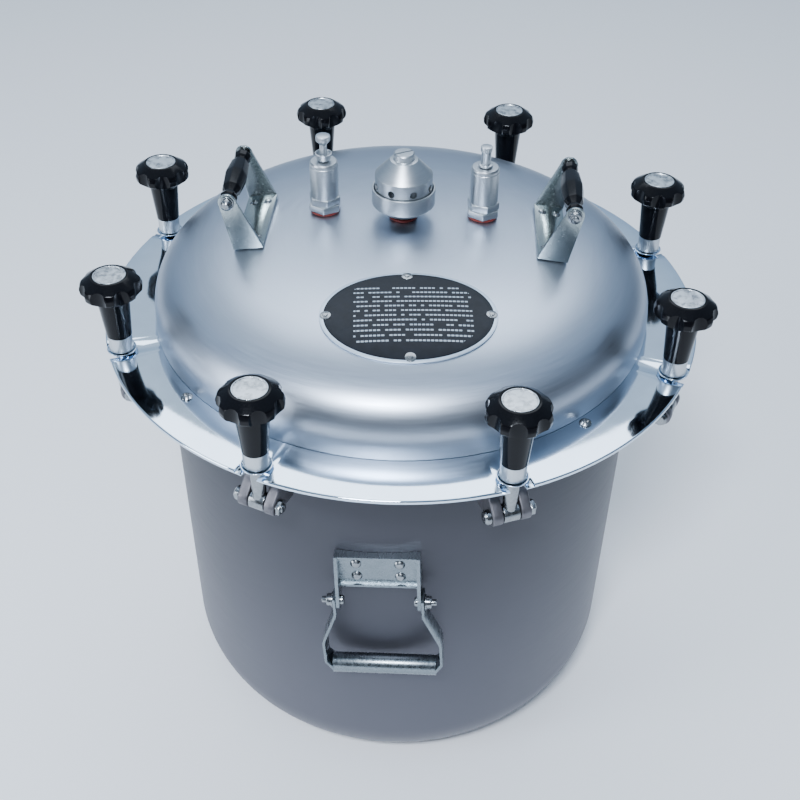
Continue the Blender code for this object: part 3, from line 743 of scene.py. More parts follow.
def dome_outline(settings, shrink, steps=56):
    points = []
    for step in range(steps + 1):
        angle = math.pi / 2 * step / steps
        radius = (DOME_RADIUS - shrink) * math.sin(angle) ** (2 / settings.dome_power)
        points.append((radius, DOME_FOOT + dome_rise(settings, radius, shrink)))
    return points


def build_dome(settings):
    outline = dome_outline(settings, 0) + dome_outline(settings, settings.dome_wall)[::-1]
    dome = lathe("dome", outline, 192)
    settle(dome, "lid", FINISHES["dome"], ["lid_dome"], 60)


def build_flange(settings):
    """A polished disc with a rounded edge, an open slot for each bolt and a step for its washer."""
    inner = 206 * MM
    edge = 1.4 * MM
    outline = [(inner, FLANGE_TOP), (inner, FLANGE_LOW), (FLANGE_RADIUS, FLANGE_LOW, edge)]
    outline += [(FLANGE_RADIUS, FLANGE_TOP, edge)]
    flange = lathe("flange", rounded(outline), 256, closed=True)
    cutters = []
    beyond = 30 * MM
    for clamp in CLAMPS:
        turn = turn_about_z(clamp_angle(clamp))
        at = turn @ Vector((CLAMP_RADIUS, 0, FLANGE_TOP))
        cutters.append(rod("slot_end", settings.slot_half_width, 20 * MM, at, (0, 0, clamp_angle(clamp)), 48))
        for half, start, depth in (
            (settings.slot_half_width, 0, 10 * MM), (13.8 * MM, settings.relief_start, settings.relief_depth)
        ):
            low = (CLAMP_RADIUS + start, -half, FLANGE_TOP - depth)
            high = (CLAMP_RADIUS + beyond, half, FLANGE_TOP + 10 * MM)
            cutters.append(moved(block("slot", low, high), turn))
    combine(flange, cutters, "DIFFERENCE")
    soften(flange, 0.35 * MM, 2, 50)
    settle(flange, "lid", FINISHES["mirror"], ["lid_flange"])


def build_flange_screws(settings):
    """Four round-headed screws on the flange, close to the dome."""
    head = in_mm([(0, -1.5), (2.5, -1.5), (2.5, 0), (5.2, 0), (5.2, 1.0, 0.5), (2.6, 3.1, 2.2), (0, 3.1)])
    model = lathe("screw_head", rounded(head), 32)
    slot = block("slot", (-6 * MM, -0.5 * MM, 2.1 * MM), (6 * MM, 0.5 * MM, 4 * MM))
    combine(model, [slot], "DIFFERENCE")
    for screw in range(4):
        angle = settings.screw_angle + screw * math.pi / 2
        circle = settings.screw_circle
        at = Vector((circle * math.cos(angle), circle * math.sin(angle), FLANGE_TOP))
        place = Matrix.Translation(at) @ turn_about_z(angle * 3 + screw)
        piece = copy_of(model, f"flange_screw_{screw + 1}", place)
        settle(piece, "lid", FINISHES["zinc"])
    bpy.data.objects.remove(model, do_unlink=True)


def dome_normal(settings, x, y):
    """A point on the dome with the matrix that stands a piece square on it."""
    radius = math.hypot(x, y)
    step = 0.5 * MM
    slope = (dome_rise(settings, radius - step) - dome_rise(settings, radius + step)) / (2 * step)
    up = Vector((x / radius * slope, y / radius * slope, 1)).normalized()
    at = Vector((x, y, DOME_FOOT + dome_rise(settings, radius)))
    return Matrix.Translation(at) @ up.to_track_quat("Z", "Y").to_matrix().to_4x4()


def build_nameplate(settings):
    """A thin oval sheet bent to the dome, with a rivet and its washer at each end of both axes."""
    bpy.ops.object.select_all(action="DESELECT")
    bpy.ops.mesh.primitive_circle_add(vertices=96, radius=1, fill_type="NGON")
    plate = named("oval_plate")
    bpy.ops.object.mode_set(mode="EDIT")
    bpy.ops.mesh.select_all(action="SELECT")
    for _ in range(9):
        bpy.ops.mesh.inset(thickness=0.1, use_boundary=True)
    bpy.ops.mesh.poke()
    clean()
    turn = turn_about_z(settings.plate_turn)
    for vertex in plate.data.vertices:
        flat = turn @ Vector((vertex.co.x * settings.plate_length, vertex.co.y * settings.plate_width, 0))
        x, y = flat.x + settings.plate_x, flat.y + settings.plate_y
        vertex.co = (x, y, DOME_FOOT + dome_rise(settings, math.hypot(x, y)) + 0.4 * MM)
    modify(plate, "SOLIDIFY", thickness=1.3 * MM, offset=1)
    soften(plate, 0.3 * MM, 2, 60)
    settle(plate, "lid", FINISHES["plate"], ["nameplate"], 40)
    washer = in_mm([(0, 0), (4.6, 0), (4.6, 0.6, 0.25), (2.3, 0.9), (2.1, 1.7, 0.5), (0, 1.9)])
    model = lathe("rivet", rounded(washer), 32)
    inset = 5.2 * MM
    for number, (along, across) in enumerate(((0, 1), (1, 0), (0, -1), (-1, 0)), 1):
        reach = Vector((along * (settings.plate_length - inset), across * (settings.plate_width - inset), 0))
        at = turn @ reach + Vector((settings.plate_x, settings.plate_y, 0))
        place = dome_normal(settings, at.x, at.y) @ Matrix.Translation((0, 0, 1.6 * MM))
        piece = copy_of(model, f"plate_rivet_{number}", place)
        settle(piece, "lid", FINISHES["zinc"])
    bpy.data.objects.remove(model, do_unlink=True)


# ---------------------------------------------------------------- clamps


def build_clamps(settings):
    """One clamp is modelled about its pivot and copied to the eight places."""
    makers = {
        "bolt": ("swing_bolt", "zinc", "zinc_plated_steel", swing_bolt(settings)),
        "pin": (None, "zinc", "zinc_plated_steel", pivot_pin()),
        "washer": ("seat", "mirror", "mirror_steel", cup_washer(settings)),
        "knob": ("star_knob", "bakelite", "black_bakelite", star_knob(settings)),
        "ferrule": ("star_knob", "regulator", "turned_aluminium", ferrule(settings)),
        "insert": ("star_knob", "foil", "turned_aluminium", knob_insert(settings)),
    }
    for clamp in CLAMPS:
        pivot = Vector(joint(f"clamp_{clamp}_swing")["pos_m"])
        place = Matrix.Translation(pivot) @ turn_about_z(clamp_angle(clamp))
        for part, (body, finish, slot, model) in makers.items():
            spin = turn_about_z(0.37 * clamp) if part in ("knob", "insert") else Matrix.Identity(4)
            piece = copy_of(model, f"clamp_{clamp}_{part}_shape", place @ spin)
            nodes = [f"clamp_{clamp}_{part}"] if part in ("bolt", "pin", "washer", "knob") else ()
            rides = f"clamp_{clamp}_{body}" if body else "pot"
            settle(piece, rides, FINISHES[finish], nodes, 38)
    for *_, model in makers.values():
        bpy.data.objects.remove(model, do_unlink=True)


def swing_bolt(settings):
    """Eye and shank, with the thread's ridges above the flange."""
    drop, radius = PIVOT_DROP, settings.shank_radius
    outline = [(0, 0), (radius, 0), (radius, drop - 2 * MM)]
    height, crest = drop, radius
    while height < drop + 63 * MM:
        outline += [(crest - 0.75 * MM, height), (crest, height + settings.pitch / 2)]
        height += settings.pitch
    outline += [(crest - 1.2 * MM, drop + 65 * MM), (0, drop + 65 * MM)]
    shank = lathe("shank", outline, 24)
    barrel = in_mm([(0, -7), (8, -7, 0.9), (8, 7, 0.9), (0, 7)])
    eye = moved(lathe("eye", rounded(barrel), 40), ACROSS)
    combine(shank, [eye], "UNION")
    hole = rod("hole", 4.3 * MM, 30 * MM, (0, 0, 0), (math.pi / 2, 0, 0))
    combine(shank, [hole], "DIFFERENCE")
    return shank


def pivot_pin():
    """Headed pin with a hexagon nut and the bolt's rounded end standing out of it."""
    body = in_mm([
        (0, 22.2), (4.5, 22.2), (6.2, 20.6, 0.5), (6.2, 17.1), (4, 17.1), (4, -21.6), (3.2, -22.4), (0, -22.4)
    ])
    pin = lathe("pin", rounded(body), 32)
    nut = rod("nut", 7 * MM, 3.6 * MM, (0, 0, -18.9 * MM), sides=6)
    soften(nut, 0.5 * MM, 2)
    combine(pin, [nut], "UNION")
    return moved(pin, ACROSS)


def cup_washer(settings):
    """Dished washer with a bright turned-up rim."""
    bore = settings.shank_radius / MM + 0.3
    outline = in_mm([
        (bore, 0.3), (9.5, 0.3, 0.8), (12.6, 1.9, 0.8), (13, 3.0, 0.25), (12.2, 3.0, 0.2),
        (11.6, 2.2, 0.6), (10.6, 1.8), (bore, 1.8),
    ])
    washer = lathe("washer", rounded(outline, 4), 64, closed=True)
    return moved(washer, Matrix.Translation((0, 0, PIVOT_DROP)))


def star_knob(settings):
    """Star head with scooped sides on a tapering stem, with a bead where they meet."""
    top = settings.knob_top / MM
    outer = settings.knob_radius / MM
    bore = settings.shank_radius / MM + 0.3
    head = top - 22
    outline = [
        (0, top - 1.2), (14.3, top - 1.2), (14.6, top - 0.2, 0.3), (16.2, top - 0.5, 0.8),
        (outer - 1.5, top - 6.5, 3), (outer, top - 11, 3), (outer - 0.6, top - 16, 2.5),
        (20, top - 19.6, 3), (15, head, 1.2), (14.9, head - 1.6, 0.7), (13.8, head - 2.6, 0.4),
        (10.9, 18.6, 0.5), (10.9, 18.2), (bore, 18.2), (bore, 69), (0, 69),
    ]
    knob = lathe("knob", rounded(in_mm(outline)), 96)
    scoops = []
    for lobe in range(settings.lobes):
        angle = math.tau * (lobe + 0.5) / settings.lobes
        centre = Vector((math.cos(angle), math.sin(angle), 0)) * (settings.knob_radius + 5.2 * MM)
        centre.z = settings.knob_top - 12 * MM
        scoops.append(rod("scoop", 9.4 * MM, 34 * MM, centre, (0, 0, 0), 40))
    combine(knob, scoops, "DIFFERENCE")
    soften(knob, 0.9 * MM, 3, 38)
    return moved(knob, Matrix.Translation((0, 0, PIVOT_DROP)))


def ferrule(settings):
    radius, top, bore = settings.ferrule_radius / MM, settings.ferrule_top / MM, 6.3
    outline = [(bore, 3.3), (radius, 3.3, 0.5), (radius, top, 0.3), (bore, top)]
    piece = lathe("ferrule", rounded(in_mm(outline)), 48, closed=True)
    return moved(piece, Matrix.Translation((0, 0, PIVOT_DROP)))


def knob_insert(settings):
    """Silver disc, faintly crowned, inside a fine raised rim."""
    radius, top = settings.insert_radius / MM, settings.knob_top / MM
    outline = [(0, top - 1.1), (radius, top - 1.1), (radius, top - 0.2, 0.3)]
    outline += [(radius - 1.1, top - 0.2, 0.2), (radius - 1.4, top - 0.7), (0, top - 0.35)]
    piece = lathe("insert", rounded(in_mm(outline), 3), 64)
    return moved(piece, Matrix.Translation((0, 0, PIVOT_DROP)))


# ---------------------------------------------------------------- regulator and valves


def build_regulator():
    """Weighted regulator: seal, vent pipe, cup weight and a pierced cone over it."""
    seal_low, seal_high = (corner.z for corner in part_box("regulator_seal"))
    base = seal_low - 0.3 * MM
    x, y, _ = centre_of("regulator_cap")
    place = Matrix.Translation((x, y, base))
    top = (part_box("regulator_cap")[1].z - base) / MM
    seal = [(9.2, 0.3), (13, 0.3, 0.6), (13, 2.3, 0.6), (9.2, 2.3)]
    turned_piece(
        "regulator_seal_ring", seal, place, "lid", "silicone", ["regulator_seal"], 48
    )
    pipe = [
        (3.5, 18), (6.5, 18, 0.5), (6.5, 8.8, 0.4), (12, 8.8, 0.8),
        (12, 2.6, 0.5), (6, 2.6), (6, -14), (3.5, -14),
    ]
    turned_piece("vent_pipe", pipe, place, "lid", "bakelite", ["regulator_pipe"], 48)
    cup = [
        (28.5, 30.4, 0.5), (28.5, 15, 2.2), (21, 9, 1.2), (7, 9), (7, 20), (26.2, 20), (26.9, 30.4, 0.3)
    ]
    turned_piece(
        "regulator_cup", cup, place, "regulator_head", "regulator",
        ["regulator_weight"], 96,
    )
    cap = rounded(in_mm([
        (0, top), (8.2, top, 0.5), (9.4, top - 1.2, 0.4), (9.4, top - 6.2, 0.5), (12.4, top - 6.6, 0.5),
        (25.8, top - 20.6, 0.5), (25.8, 20.5, 0.3), (23, 20.5), (23, top - 23), (0, top - 23),
    ]))
    cone = lathe("regulator_cone", cap, 96)
    holes = []
    for vent in range(4):
        turn = turn_about_z(math.tau * (vent + 0.5) / 8) @ ACROSS
        holes.append(moved(rod("vent", 3.3 * MM, 80 * MM), Matrix.Translation((0, 0, 34.8 * MM)) @ turn))
    combine(cone, holes, "DIFFERENCE")
    slot = block("slot", (-10 * MM, -0.9 * MM, (top - 1.6) * MM), (10 * MM, 0.9 * MM, (top + 1) * MM))
    combine(cone, [moved(slot, turn_about_z(0.5))], "DIFFERENCE")
    moved(cone, place)
    settle(cone, "regulator_head", FINISHES["regulator"], ["regulator_cap"])


def turned_piece(name, corners, place, body, finish, nodes, sides=48):
    """A closed turned outline in millimetres, put in its place and finished."""
    piece = moved(lathe(name, rounded(in_mm(corners)), sides, closed=True), place)
    return settle(piece, body, FINISHES[finish], nodes)


def build_valve(side):
    """Spring valve: seal, two hexagon rings, barrel with a light top ring, spring and stem."""
    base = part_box(f"{side}_valve_seal")[0].z - 0.3 * MM
    x, y, _ = centre_of(f"{side}_valve_body")
    place = Matrix.Translation((x, y, base))
    finish = f"{side}_valve"
    turned_piece(
        f"{side}_seal_ring", [(9.2, 0.3), (13.6, 0.3, 0.6), (13.6, 2.3, 0.6), (9.2, 2.3)], place, "lid",
        "silicone", [f"{side}_valve_seal"],
    )
    barrel = [
        (5, 50), (11.6, 50, 0.8), (12.4, 48.4, 0.5), (12.4, 46, 0.3), (12.8, 45.6, 0.3), (12.8, 4), (6, 4),
        (6, -14), (3, -14), (3, 14), (9.5, 14), (9.5, 46), (5, 46),
    ]
    body = lathe(f"{side}_valve_barrel", rounded(in_mm(barrel)), 64, closed=True)
    rings = []
    for low, high, radius, turn in ((2.6, 9.4, 15.6, 0.0), (9.4, 16.4, 15.0, 0.26)):
        ring = rod("hexagon", radius * MM, (high - low) * MM, (0, 0, (low + high) / 2 * MM), (0, 0, turn), 6)
        soften(ring, 0.9 * MM, 3)
        rings.append(ring)
    for ring in rings:
        hole = rod("hole", 9.6 * MM, 40 * MM, (0, 0, 30 * MM), sides=48)
        lower = rod("hole", 6.5 * MM, 40 * MM, (0, 0, 0), sides=48)
        combine(ring, [hole, lower], "DIFFERENCE")
    combine(body, rings, "UNION")
    moved(body, place)
    settle(body, "lid", FINISHES[finish], [f"{side}_valve_body"])
    build_stem(side, base, place, finish)
    build_spring(side, place)


def build_stem(side, base, place, finish):
    """The left stem has a flared cup and a mushroom head, the right one a plain stem and a ragged tip."""
    top = (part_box(f"{side}_valve_stem")[1].z - base) / MM
    foot = [(0, 15), (8.5, 15, 0.4), (8.5, 19.6, 0.4), (4.2, 20.4), (4.2, 50.6)]
    if side == "left":
        upper = [(6, 51.4, 0.3), (7.8, 57.6, 0.3), (6.6, 57.8, 0.2), (4.6, 54.2), (3.4, 55), (3.2, top - 9)]
        upper += [(4.4, top - 7.4, 0.8), (6.4, top - 5.2, 0.6), (6.4, top - 0.8, 0.6), (0, top)]
    else:
        upper = [(6.4, 50.8, 0.3), (6.4, 52.4, 0.3), (4.3, 52.8), (4.3, top - 6), (5.4, top - 4.6, 0.3)]
        upper += [(5.4, top - 0.6, 0.4), (0, top)]
    stem = lathe(f"{side}_valve_plunger_stem", rounded(in_mm(foot + upper)), 48)
    if side == "right":
        crinkle(stem, (top - 5) * MM, 0.5 * MM)
    moved(stem, place)
    settle(stem, f"{side}_valve_plunger", FINISHES[finish], [f"{side}_valve_stem"])


def crinkle(piece, above, depth):
    """Dents the skin above a height, as pliers leave a stem's tip."""
    for vertex in piece.data.vertices:
        radius = vertex.co.xy.length
        if vertex.co.z > above and radius > 1 * MM:
            angle = math.atan2(vertex.co.y, vertex.co.x)
            dent = 0.5 + 0.5 * math.sin(5 * angle + 900 * vertex.co.z) * math.cos(3 * angle)
            vertex.co.xy *= 1 - depth * dent / radius


def build_spring(side, place):
    """Coiled wire round the stem, inside the barrel."""
    turns, steps, coil, wire = 6, 16, 6.6 * MM, 0.8 * MM
    low, high = 21.5 * MM, 38.5 * MM
    bpy.ops.object.select_all(action="DESELECT")
    bpy.ops.mesh.primitive_circle_add(
        vertices=10, radius=wire, location=(coil, 0, low), rotation=(math.pi / 2, 0, 0)
    )
    spring = named(f"{side}_valve_coil")
    bpy.ops.object.transform_apply(location=True, rotation=True, scale=True)
    modify(
        spring, "SCREW", angle=math.tau, screw_offset=(high - low) / turns, iterations=turns, steps=steps,
        render_steps=steps, axis="Z",
    )
    bpy.ops.object.mode_set(mode="EDIT")
    bpy.ops.mesh.select_all(action="DESELECT")
    bpy.ops.mesh.select_non_manifold()
    bpy.ops.mesh.fill_holes(sides=0)
    clean()
    moved(spring, place)
    settle(
        spring, f"{side}_valve_plunger", FINISHES["zinc"], [f"{side}_valve_spring"]
    )


# ---------------------------------------------------------------- handles and bails


def handle_frame(side, settings):
    """The bracket's own frame: X outwards and Z away from the dome, with the grip above."""
    mirror = 1 if side == "right" else -1
    turn = turn_about_z(0 if mirror > 0 else math.pi) @ Matrix.Rotation(settings.tilt, 4, "Y")
    grip = centre_of(f"{side}_lid_handle_bolt")
    foot = grip - (turn @ Vector((settings.lean, 0, settings.height)))
    return Matrix.Translation(foot) @ turn


def build_lid_handle(side, settings):
    place = handle_frame(side, settings)
    half = settings.length / 2
    bracket = folded_bracket(side, settings, half)
    moved(bracket, place)
    settle(bracket, "lid", FINISHES["sheet"], [f"{side}_lid_handle_bracket"])
    axis = place @ Matrix.Translation((settings.lean, 0, settings.height)) @ ACROSS
    grip = moved(faceted_grip(side, half - settings.sheet - 0.3 * MM), axis)
    settle(grip, "lid", FINISHES["bakelite"], [f"{side}_lid_handle_grip"], 24)
    bolt = moved(handle_bolt(side, half), axis)
    settle(bolt, "lid", FINISHES["zinc"], [f"{side}_lid_handle_bolt"])
    head = in_mm([(0, 0), (3.9, 0), (3.9, 0.5, 0.3), (2.2, 2.0, 1.4), (0, 2.2)])
    model = lathe("rivet", rounded(head), 28)
    rivets = []
    for along in (-1, 1):
        for across in (-1, 1):
            at = (across * 6.6 * MM, along * 31 * MM, 0.6 * MM + settings.sheet)
            rivets.append(copy_of(model, "rivet", place @ Matrix.Translation(at)))
    bpy.data.objects.remove(model, do_unlink=True)
    settle(joined(f"{side}_lid_handle_rivets", rivets), "lid", FINISHES["zinc"])


def folded_bracket(side, settings, half):
    """A flat strip whose ends are folded up into cheeks that taper to a round tip."""
    wide, foot = settings.foot / 2, 0.6 * MM
    tip, steps = 8 * MM, 8
    bpy.ops.object.select_all(action="DESELECT")
    bpy.ops.mesh.primitive_plane_add(size=1, location=(0, 0, foot), scale=(1, 1, 1))
    bracket = named(f"{side}_bracket")
    bracket.dimensions = (2 * wide, 2 * half, 0)
    bpy.ops.object.transform_apply(location=True, rotation=True, scale=True)
    for end in (-1, 1):
        rows = [math.radians(90 * step / steps) for step in range(steps)]
        only(bracket)
        bpy.ops.object.mode_set(mode="EDIT")
        bpy.ops.mesh.select_mode(type="VERT")
        bpy.ops.mesh.select_all(action="DESELECT")
        bpy.ops.object.mode_set(mode="OBJECT")
        for vertex in bracket.data.vertices:
            vertex.select = abs(vertex.co.y - end * half) < 1e-6 and abs(vertex.co.z - foot) < 1e-6
        bpy.ops.object.mode_set(mode="EDIT")
        bpy.ops.mesh.select_mode(type="EDGE")
        last_height, last_middle, last_half = foot, 0.0, wide
        for angle in rows:
            height = settings.height + tip * math.sin(angle)
            middle, now = settings.lean, tip * math.cos(angle)
            move = (middle - last_middle, 0, height - last_height)
            bpy.ops.mesh.extrude_region_move(TRANSFORM_OT_translate={"value": move})
            bpy.ops.transform.resize(
                value=(now / last_half, 1, 1), center_override=(middle, end * half, height)
            )
            last_height, last_middle, last_half = height, middle, now
        bpy.ops.object.mode_set(mode="OBJECT")
    only(bracket)
    bpy.ops.object.mode_set(mode="EDIT")
    bpy.ops.mesh.select_all(action="SELECT")
    bpy.ops.mesh.normals_make_consistent(inside=True)
    bpy.ops.object.mode_set(mode="OBJECT")
    modify(bracket, "SOLIDIFY", thickness=settings.sheet, offset=1, use_even_offset=True)
    soften(bracket, 0.45 * MM, 2, 40)
    return bracket


def faceted_grip(side, half):
    """Eight-sided spindle: round bulbs at the ends, narrow necks and a swelling middle."""
    ends = half / MM
    profile = [
        (3.3, -ends), (5.8, -ends, 0.8), (8, -ends + 5.6, 1.6), (6.8, -ends + 10.6, 1.4),
        (5.2, -ends + 13.4, 1.2), (8.6, -ends + 21, 4), (10.5, 0, 30), (8.6, ends - 21, 4),
        (5.2, ends - 13.4, 1.2), (6.8, ends - 10.6, 1.4), (8, ends - 5.6, 1.6), (5.8, ends, 0.8), (3.3, ends),
    ]
    grip = lathe(f"{side}_grip", rounded(in_mm(profile), 4), 8, closed=True)
    soften(grip, 0.8 * MM, 3, 30)
    return grip


def handle_bolt(side, half):
    """Long bolt through the grip: washer and domed nut at the front, round head behind."""
    h = half / MM
    outline = [
        (0, h + 7), (2.6, h + 6.8, 0.6), (3, h + 4.6), (5, h + 4.4, 0.4),
        (5.4, h + 1.6, 0.3), (6.4, h + 1.5, 0.2),
        (6.4, h + 0.3), (3, h + 0.3), (3, -h - 0.3), (6.4, -h - 0.3), (6.4, -h - 1.5, 0.2), (5.2, -h - 1.6),
        (5, -h - 4.6, 1), (2.6, -h - 7, 0.6), (0, -h - 7),
    ]
    return lathe(f"{side}_bolt", rounded(in_mm(outline), 3), 40)


def bail_frame(side):
    """The bail's own frame at its pivot: X outwards from the wall, Y along the pivot."""
    swing = joint(f"{side}_bail_swing")
    pivot = Vector(swing["pos_m"])
    along = -Vector(swing["axis"]).normalized()
    out = (Vector((pivot.x, pivot.y, 0)) - along * along.dot(Vector((pivot.x, pivot.y, 0)))).normalized()
    up = out.cross(along)
    turn = Matrix((out, along, up)).transposed().to_4x4()
    return Matrix.Translation(pivot) @ turn


def build_bail(side, settings):
    place = bail_frame(side)
    bracket = moved(bail_bracket(side, settings), place)
    settle(bracket, "pot", FINISHES["bail"], [f"{side}_bail_bracket"])
    fittings = moved(bail_fittings(side, settings), place)
    settle(fittings, "pot", FINISHES["zinc"])
    bail = moved(bail_shape(side, settings), place)
    settle(bail, f"{side}_bail", FINISHES["bail"], [f"{side}_bail_handle"])


def bail_bracket(side, settings):
    """Riveted back with a lip along its top and its foot, and a cheek at each end that carries the pivot."""
    out, drop = 13 * MM, 29 * MM
    half, tall, sheet = settings.bail_width / 2, settings.bail_height, settings.bail_sheet
    low, high = drop - tall / 2, drop + tall / 2
    wall = -out + 0.6 * MM
    back = block("back", (wall - 2.8 * MM, -half, low), (wall + sheet, half, high))
    lips = [
        block("lip", (wall, -half + 1 * MM, high - 2.2 * MM), (wall + 6.5 * MM, half - 1 * MM, high)),
        block("lip", (wall, -half + 1 * MM, low), (wall + 6.5 * MM, half - 1 * MM, low + 2.2 * MM)),
    ]
    reach = 8 * MM
    cheek = [(wall, low), (wall, high), (wall + 7 * MM, high)]
    for step in range(13):
        angle = -math.pi * step / 12
        cheek.append((reach * math.cos(angle), reach * math.sin(angle)))
    for end in (-1, 1):
        plate = slab("cheek", cheek, sheet)
        lips.append(moved(plate, Matrix.Translation((0, end * (half - sheet / 2), 0))))
    combine(back, lips, "UNION")
    barrel = rod("wall", POT_RADIUS + 0.3 * MM, 400 * MM, (-out - POT_RADIUS, 0, 0), sides=256)
    combine(back, [barrel], "DIFFERENCE")
    soften(back, 0.5 * MM, 2, 40)
    back.name = f"{side}_bail_plate"
    return back


def bail_fittings(side, settings):
    """Pivot bolts with their washers and nuts, and the four rivets."""
    half, sheet = settings.bail_width / 2 / MM, settings.bail_sheet / MM
    arm = half + 0.3 + 2.5
    bolt = in_mm([
        (0, half - sheet - 3.4), (4.2, half - sheet - 3.4, 1.2),
        (4.2, half - sheet - 0.1), (2.9, half - sheet - 0.1),
        (2.9, arm + 0.4), (7, arm + 0.4, 0.3), (7, arm + 1.6, 0.3), (5.6, arm + 1.8), (5.6, arm + 6, 0.8),
        (3, arm + 6.2), (2.8, arm + 10.4, 0.6), (0, arm + 10.6),
    ])
    model = lathe("bolt", rounded(bolt, 3), 32)
    fittings = [
        copy_of(model, "bolt", ACROSS), copy_of(model, "bolt", Matrix.Rotation(-math.pi / 2, 4, "X")),
    ]
    bpy.data.objects.remove(model, do_unlink=True)
    head = in_mm([(0, -0.5), (4.8, -0.5), (4.8, 0.6, 0.4), (3, 2.4, 2), (0, 2.6)])
    rivet = moved(lathe("rivet", rounded(head), 28), Matrix.Rotation(math.pi / 2, 4, "Y"))
    for along in (-19, 19):
        for height in (21.5, 36.5):
            at = Matrix.Translation((-13 * MM + 3.6 * MM, along * MM, height * MM))
            fittings.append(copy_of(rivet, "rivet", at))
    bpy.data.objects.remove(rivet, do_unlink=True)
    return joined(f"{side}_bail_fittings", fittings)


def bail_shape(side, settings):
    """One bent strip: two flaring arms, folded corners and a rolled half-round grip."""
    half = settings.bail_width / 2 + 0.3 * MM
    flare, grip, thick = 51.5 * MM, 87 * MM, 2.5 * MM
    outer = [(half + thick, 9 * MM), (half + thick, -12 * MM, 20 * MM), (flare + thick, -50 * MM, 24 * MM)]
    outer += [(flare + thick, -grip + 9 * MM), (flare - 5 * MM, -grip - 3 * MM)]
    inner = [(flare - 7 * MM, -grip), (flare, -grip + 10 * MM), (flare, -50 * MM, 22 * MM)]
    inner += [(half, -12 * MM, 18 * MM), (half, 9 * MM)]
    outline = rounded(outer + inner, 6)
    arm = slab("arm", outline, settings.bail_strip)
    square = Matrix.Rotation(math.pi / 2, 4, "Z")
    arms = [moved(arm, square), copy_of(arm, "arm", turn_about_z(math.pi))]
    hole = rod("hole", 3.3 * MM, 200 * MM, (0, 0, 0), (math.pi / 2, 0, 0))
    for piece in arms:
        soften(piece, 0.5 * MM, 2, 50)
    tube = rolled_grip(flare - 4 * MM, grip)
    bail = arms[0]
    combine(bail, [arms[1]], "UNION")
    combine(bail, [hole], "DIFFERENCE")
    return joined(f"{side}_bail_strip", [bail, tube])


def rolled_grip(half, drop):
    """The strip rolled to most of a tube, open at the back, with its ends nipped in."""
    radius, wall = 10.6 * MM, 2 * MM
    section = []
    for step in range(29):
        angle = math.radians(-150 + 300 * step / 28)
        section.append((radius * math.cos(angle), radius * math.sin(angle)))
    for step in range(29):
        angle = math.radians(150 - 300 * step / 28)
        section.append(((radius - wall) * math.cos(angle), (radius - wall) * math.sin(angle)))
    grip = slab("grip", section, 2 * half)
    for vertex in grip.data.vertices:
        if abs(vertex.co.y) > half - 1e-6:
            vertex.co.x *= 0.86
            vertex.co.z *= 0.9
    soften(grip, 0.4 * MM, 2, 50)
    return moved(grip, Matrix.Translation((0, 0, -drop)))


# ---------------------------------------------------------------- stage


def build_stage(scene):
    """Pale floor, soft lights and the camera in front, above and a little to the right."""
    bpy.ops.object.select_all(action="DESELECT")
    bpy.ops.mesh.primitive_plane_add(size=40)
    floor = named("studio_floor")
    paint, shader = new_material("pale_matt_floor")
    shader.inputs["Roughness"].default_value = 0.9
    shader.inputs["Base Color"].default_value = (*scene.pot_colours.floor, 1)
    floor.data.materials.append(paint)
    light_world(scene)
    add_light("front_softbox", (-0.25, -1.7, 2.5), (0, -0.1, 0.4), (0.7, 0.3), 100)
    add_light("back_softbox", (0.0, 1.3, 2.5), (0, 0, 0.45), (2.4, 1.2), 30)
    add_light("left_softbox", (-2.2, -1.2, 1.0), (0, 0, 0.25), (0.8, 1.6), 38)
    add_camera(scene)


def light_world(scene):
    """A studio hall: pale blue above and behind the pot, dark in front of it."""
    world = bpy.data.worlds.new("studio_hall")
    world.use_nodes = True
    scene.world = world
    tree = world.node_tree
    background = tree.nodes["Background"]
    where = add_node(world, "ShaderNodeTexCoord").outputs["Generated"]
    height = add_node(
        world, "ShaderNodeVectorMath", {0: where, 1: (-0.12, 0.45, 0.88)}, operation="DOT_PRODUCT"
    ).outputs["Value"]
    ramp = add_node(world, "ShaderNodeValToRGB", {"Fac": height})
    stops = ramp.color_ramp.elements
    stops[0].position, stops[0].color = 0.0, (*linear("565C65"), 1)
    stops[1].position, stops[1].color = 1.0, (*linear("E0F0FF"), 1)
    for place, tone in ((0.35, "6F8095"), (0.7, "9DB6D2")):
        stops.new(place).color = (*linear(tone), 1)
    tree.links.new(ramp.outputs["Color"], background.inputs["Color"])
    background.inputs["Strength"].default_value = 1.1


def add_light(name, place, target, spread_size, power):
    bpy.ops.object.light_add(type="AREA", location=place)
    lamp = bpy.context.object
    lamp.name = name
    aim = Vector(target) - Vector(place)
    lamp.rotation_euler = aim.to_track_quat("-Z", "Y").to_euler()
    lamp.data.shape = "RECTANGLE"
    lamp.data.size, lamp.data.size_y = spread_size
    lamp.data.energy = power
    lamp.data.color = linear("EAF3FF")
    return lamp


def add_camera(scene):
    """The main camera stands 1.08 m from the flange's centre, 34 degrees above it."""
    azimuth, below, roll = math.radians(2.755), math.radians(39.59), math.radians(0.786)
    place = Vector((42.9, -891.2, 611.6)) * MM + Vector((0, 0, FLANGE_TOP))
    level = math.cos(below)
    aim = Vector((-math.sin(azimuth) * level, math.cos(azimuth) * level, -math.sin(below)))
    bpy.ops.object.camera_add(location=place)
    camera = bpy.context.object
    camera.name = "main_camera"
    turn = aim.to_track_quat("-Z", "Y").to_matrix().to_4x4()
    camera.matrix_world = Matrix.Translation(place) @ turn @ Matrix.Rotation(roll, 4, "Z")
    camera.data.lens = 51.35
    camera.data.sensor_width = 36
    camera.data.clip_start = 0.01
    scene.camera = camera


# ---------------------------------------------------------------- operators


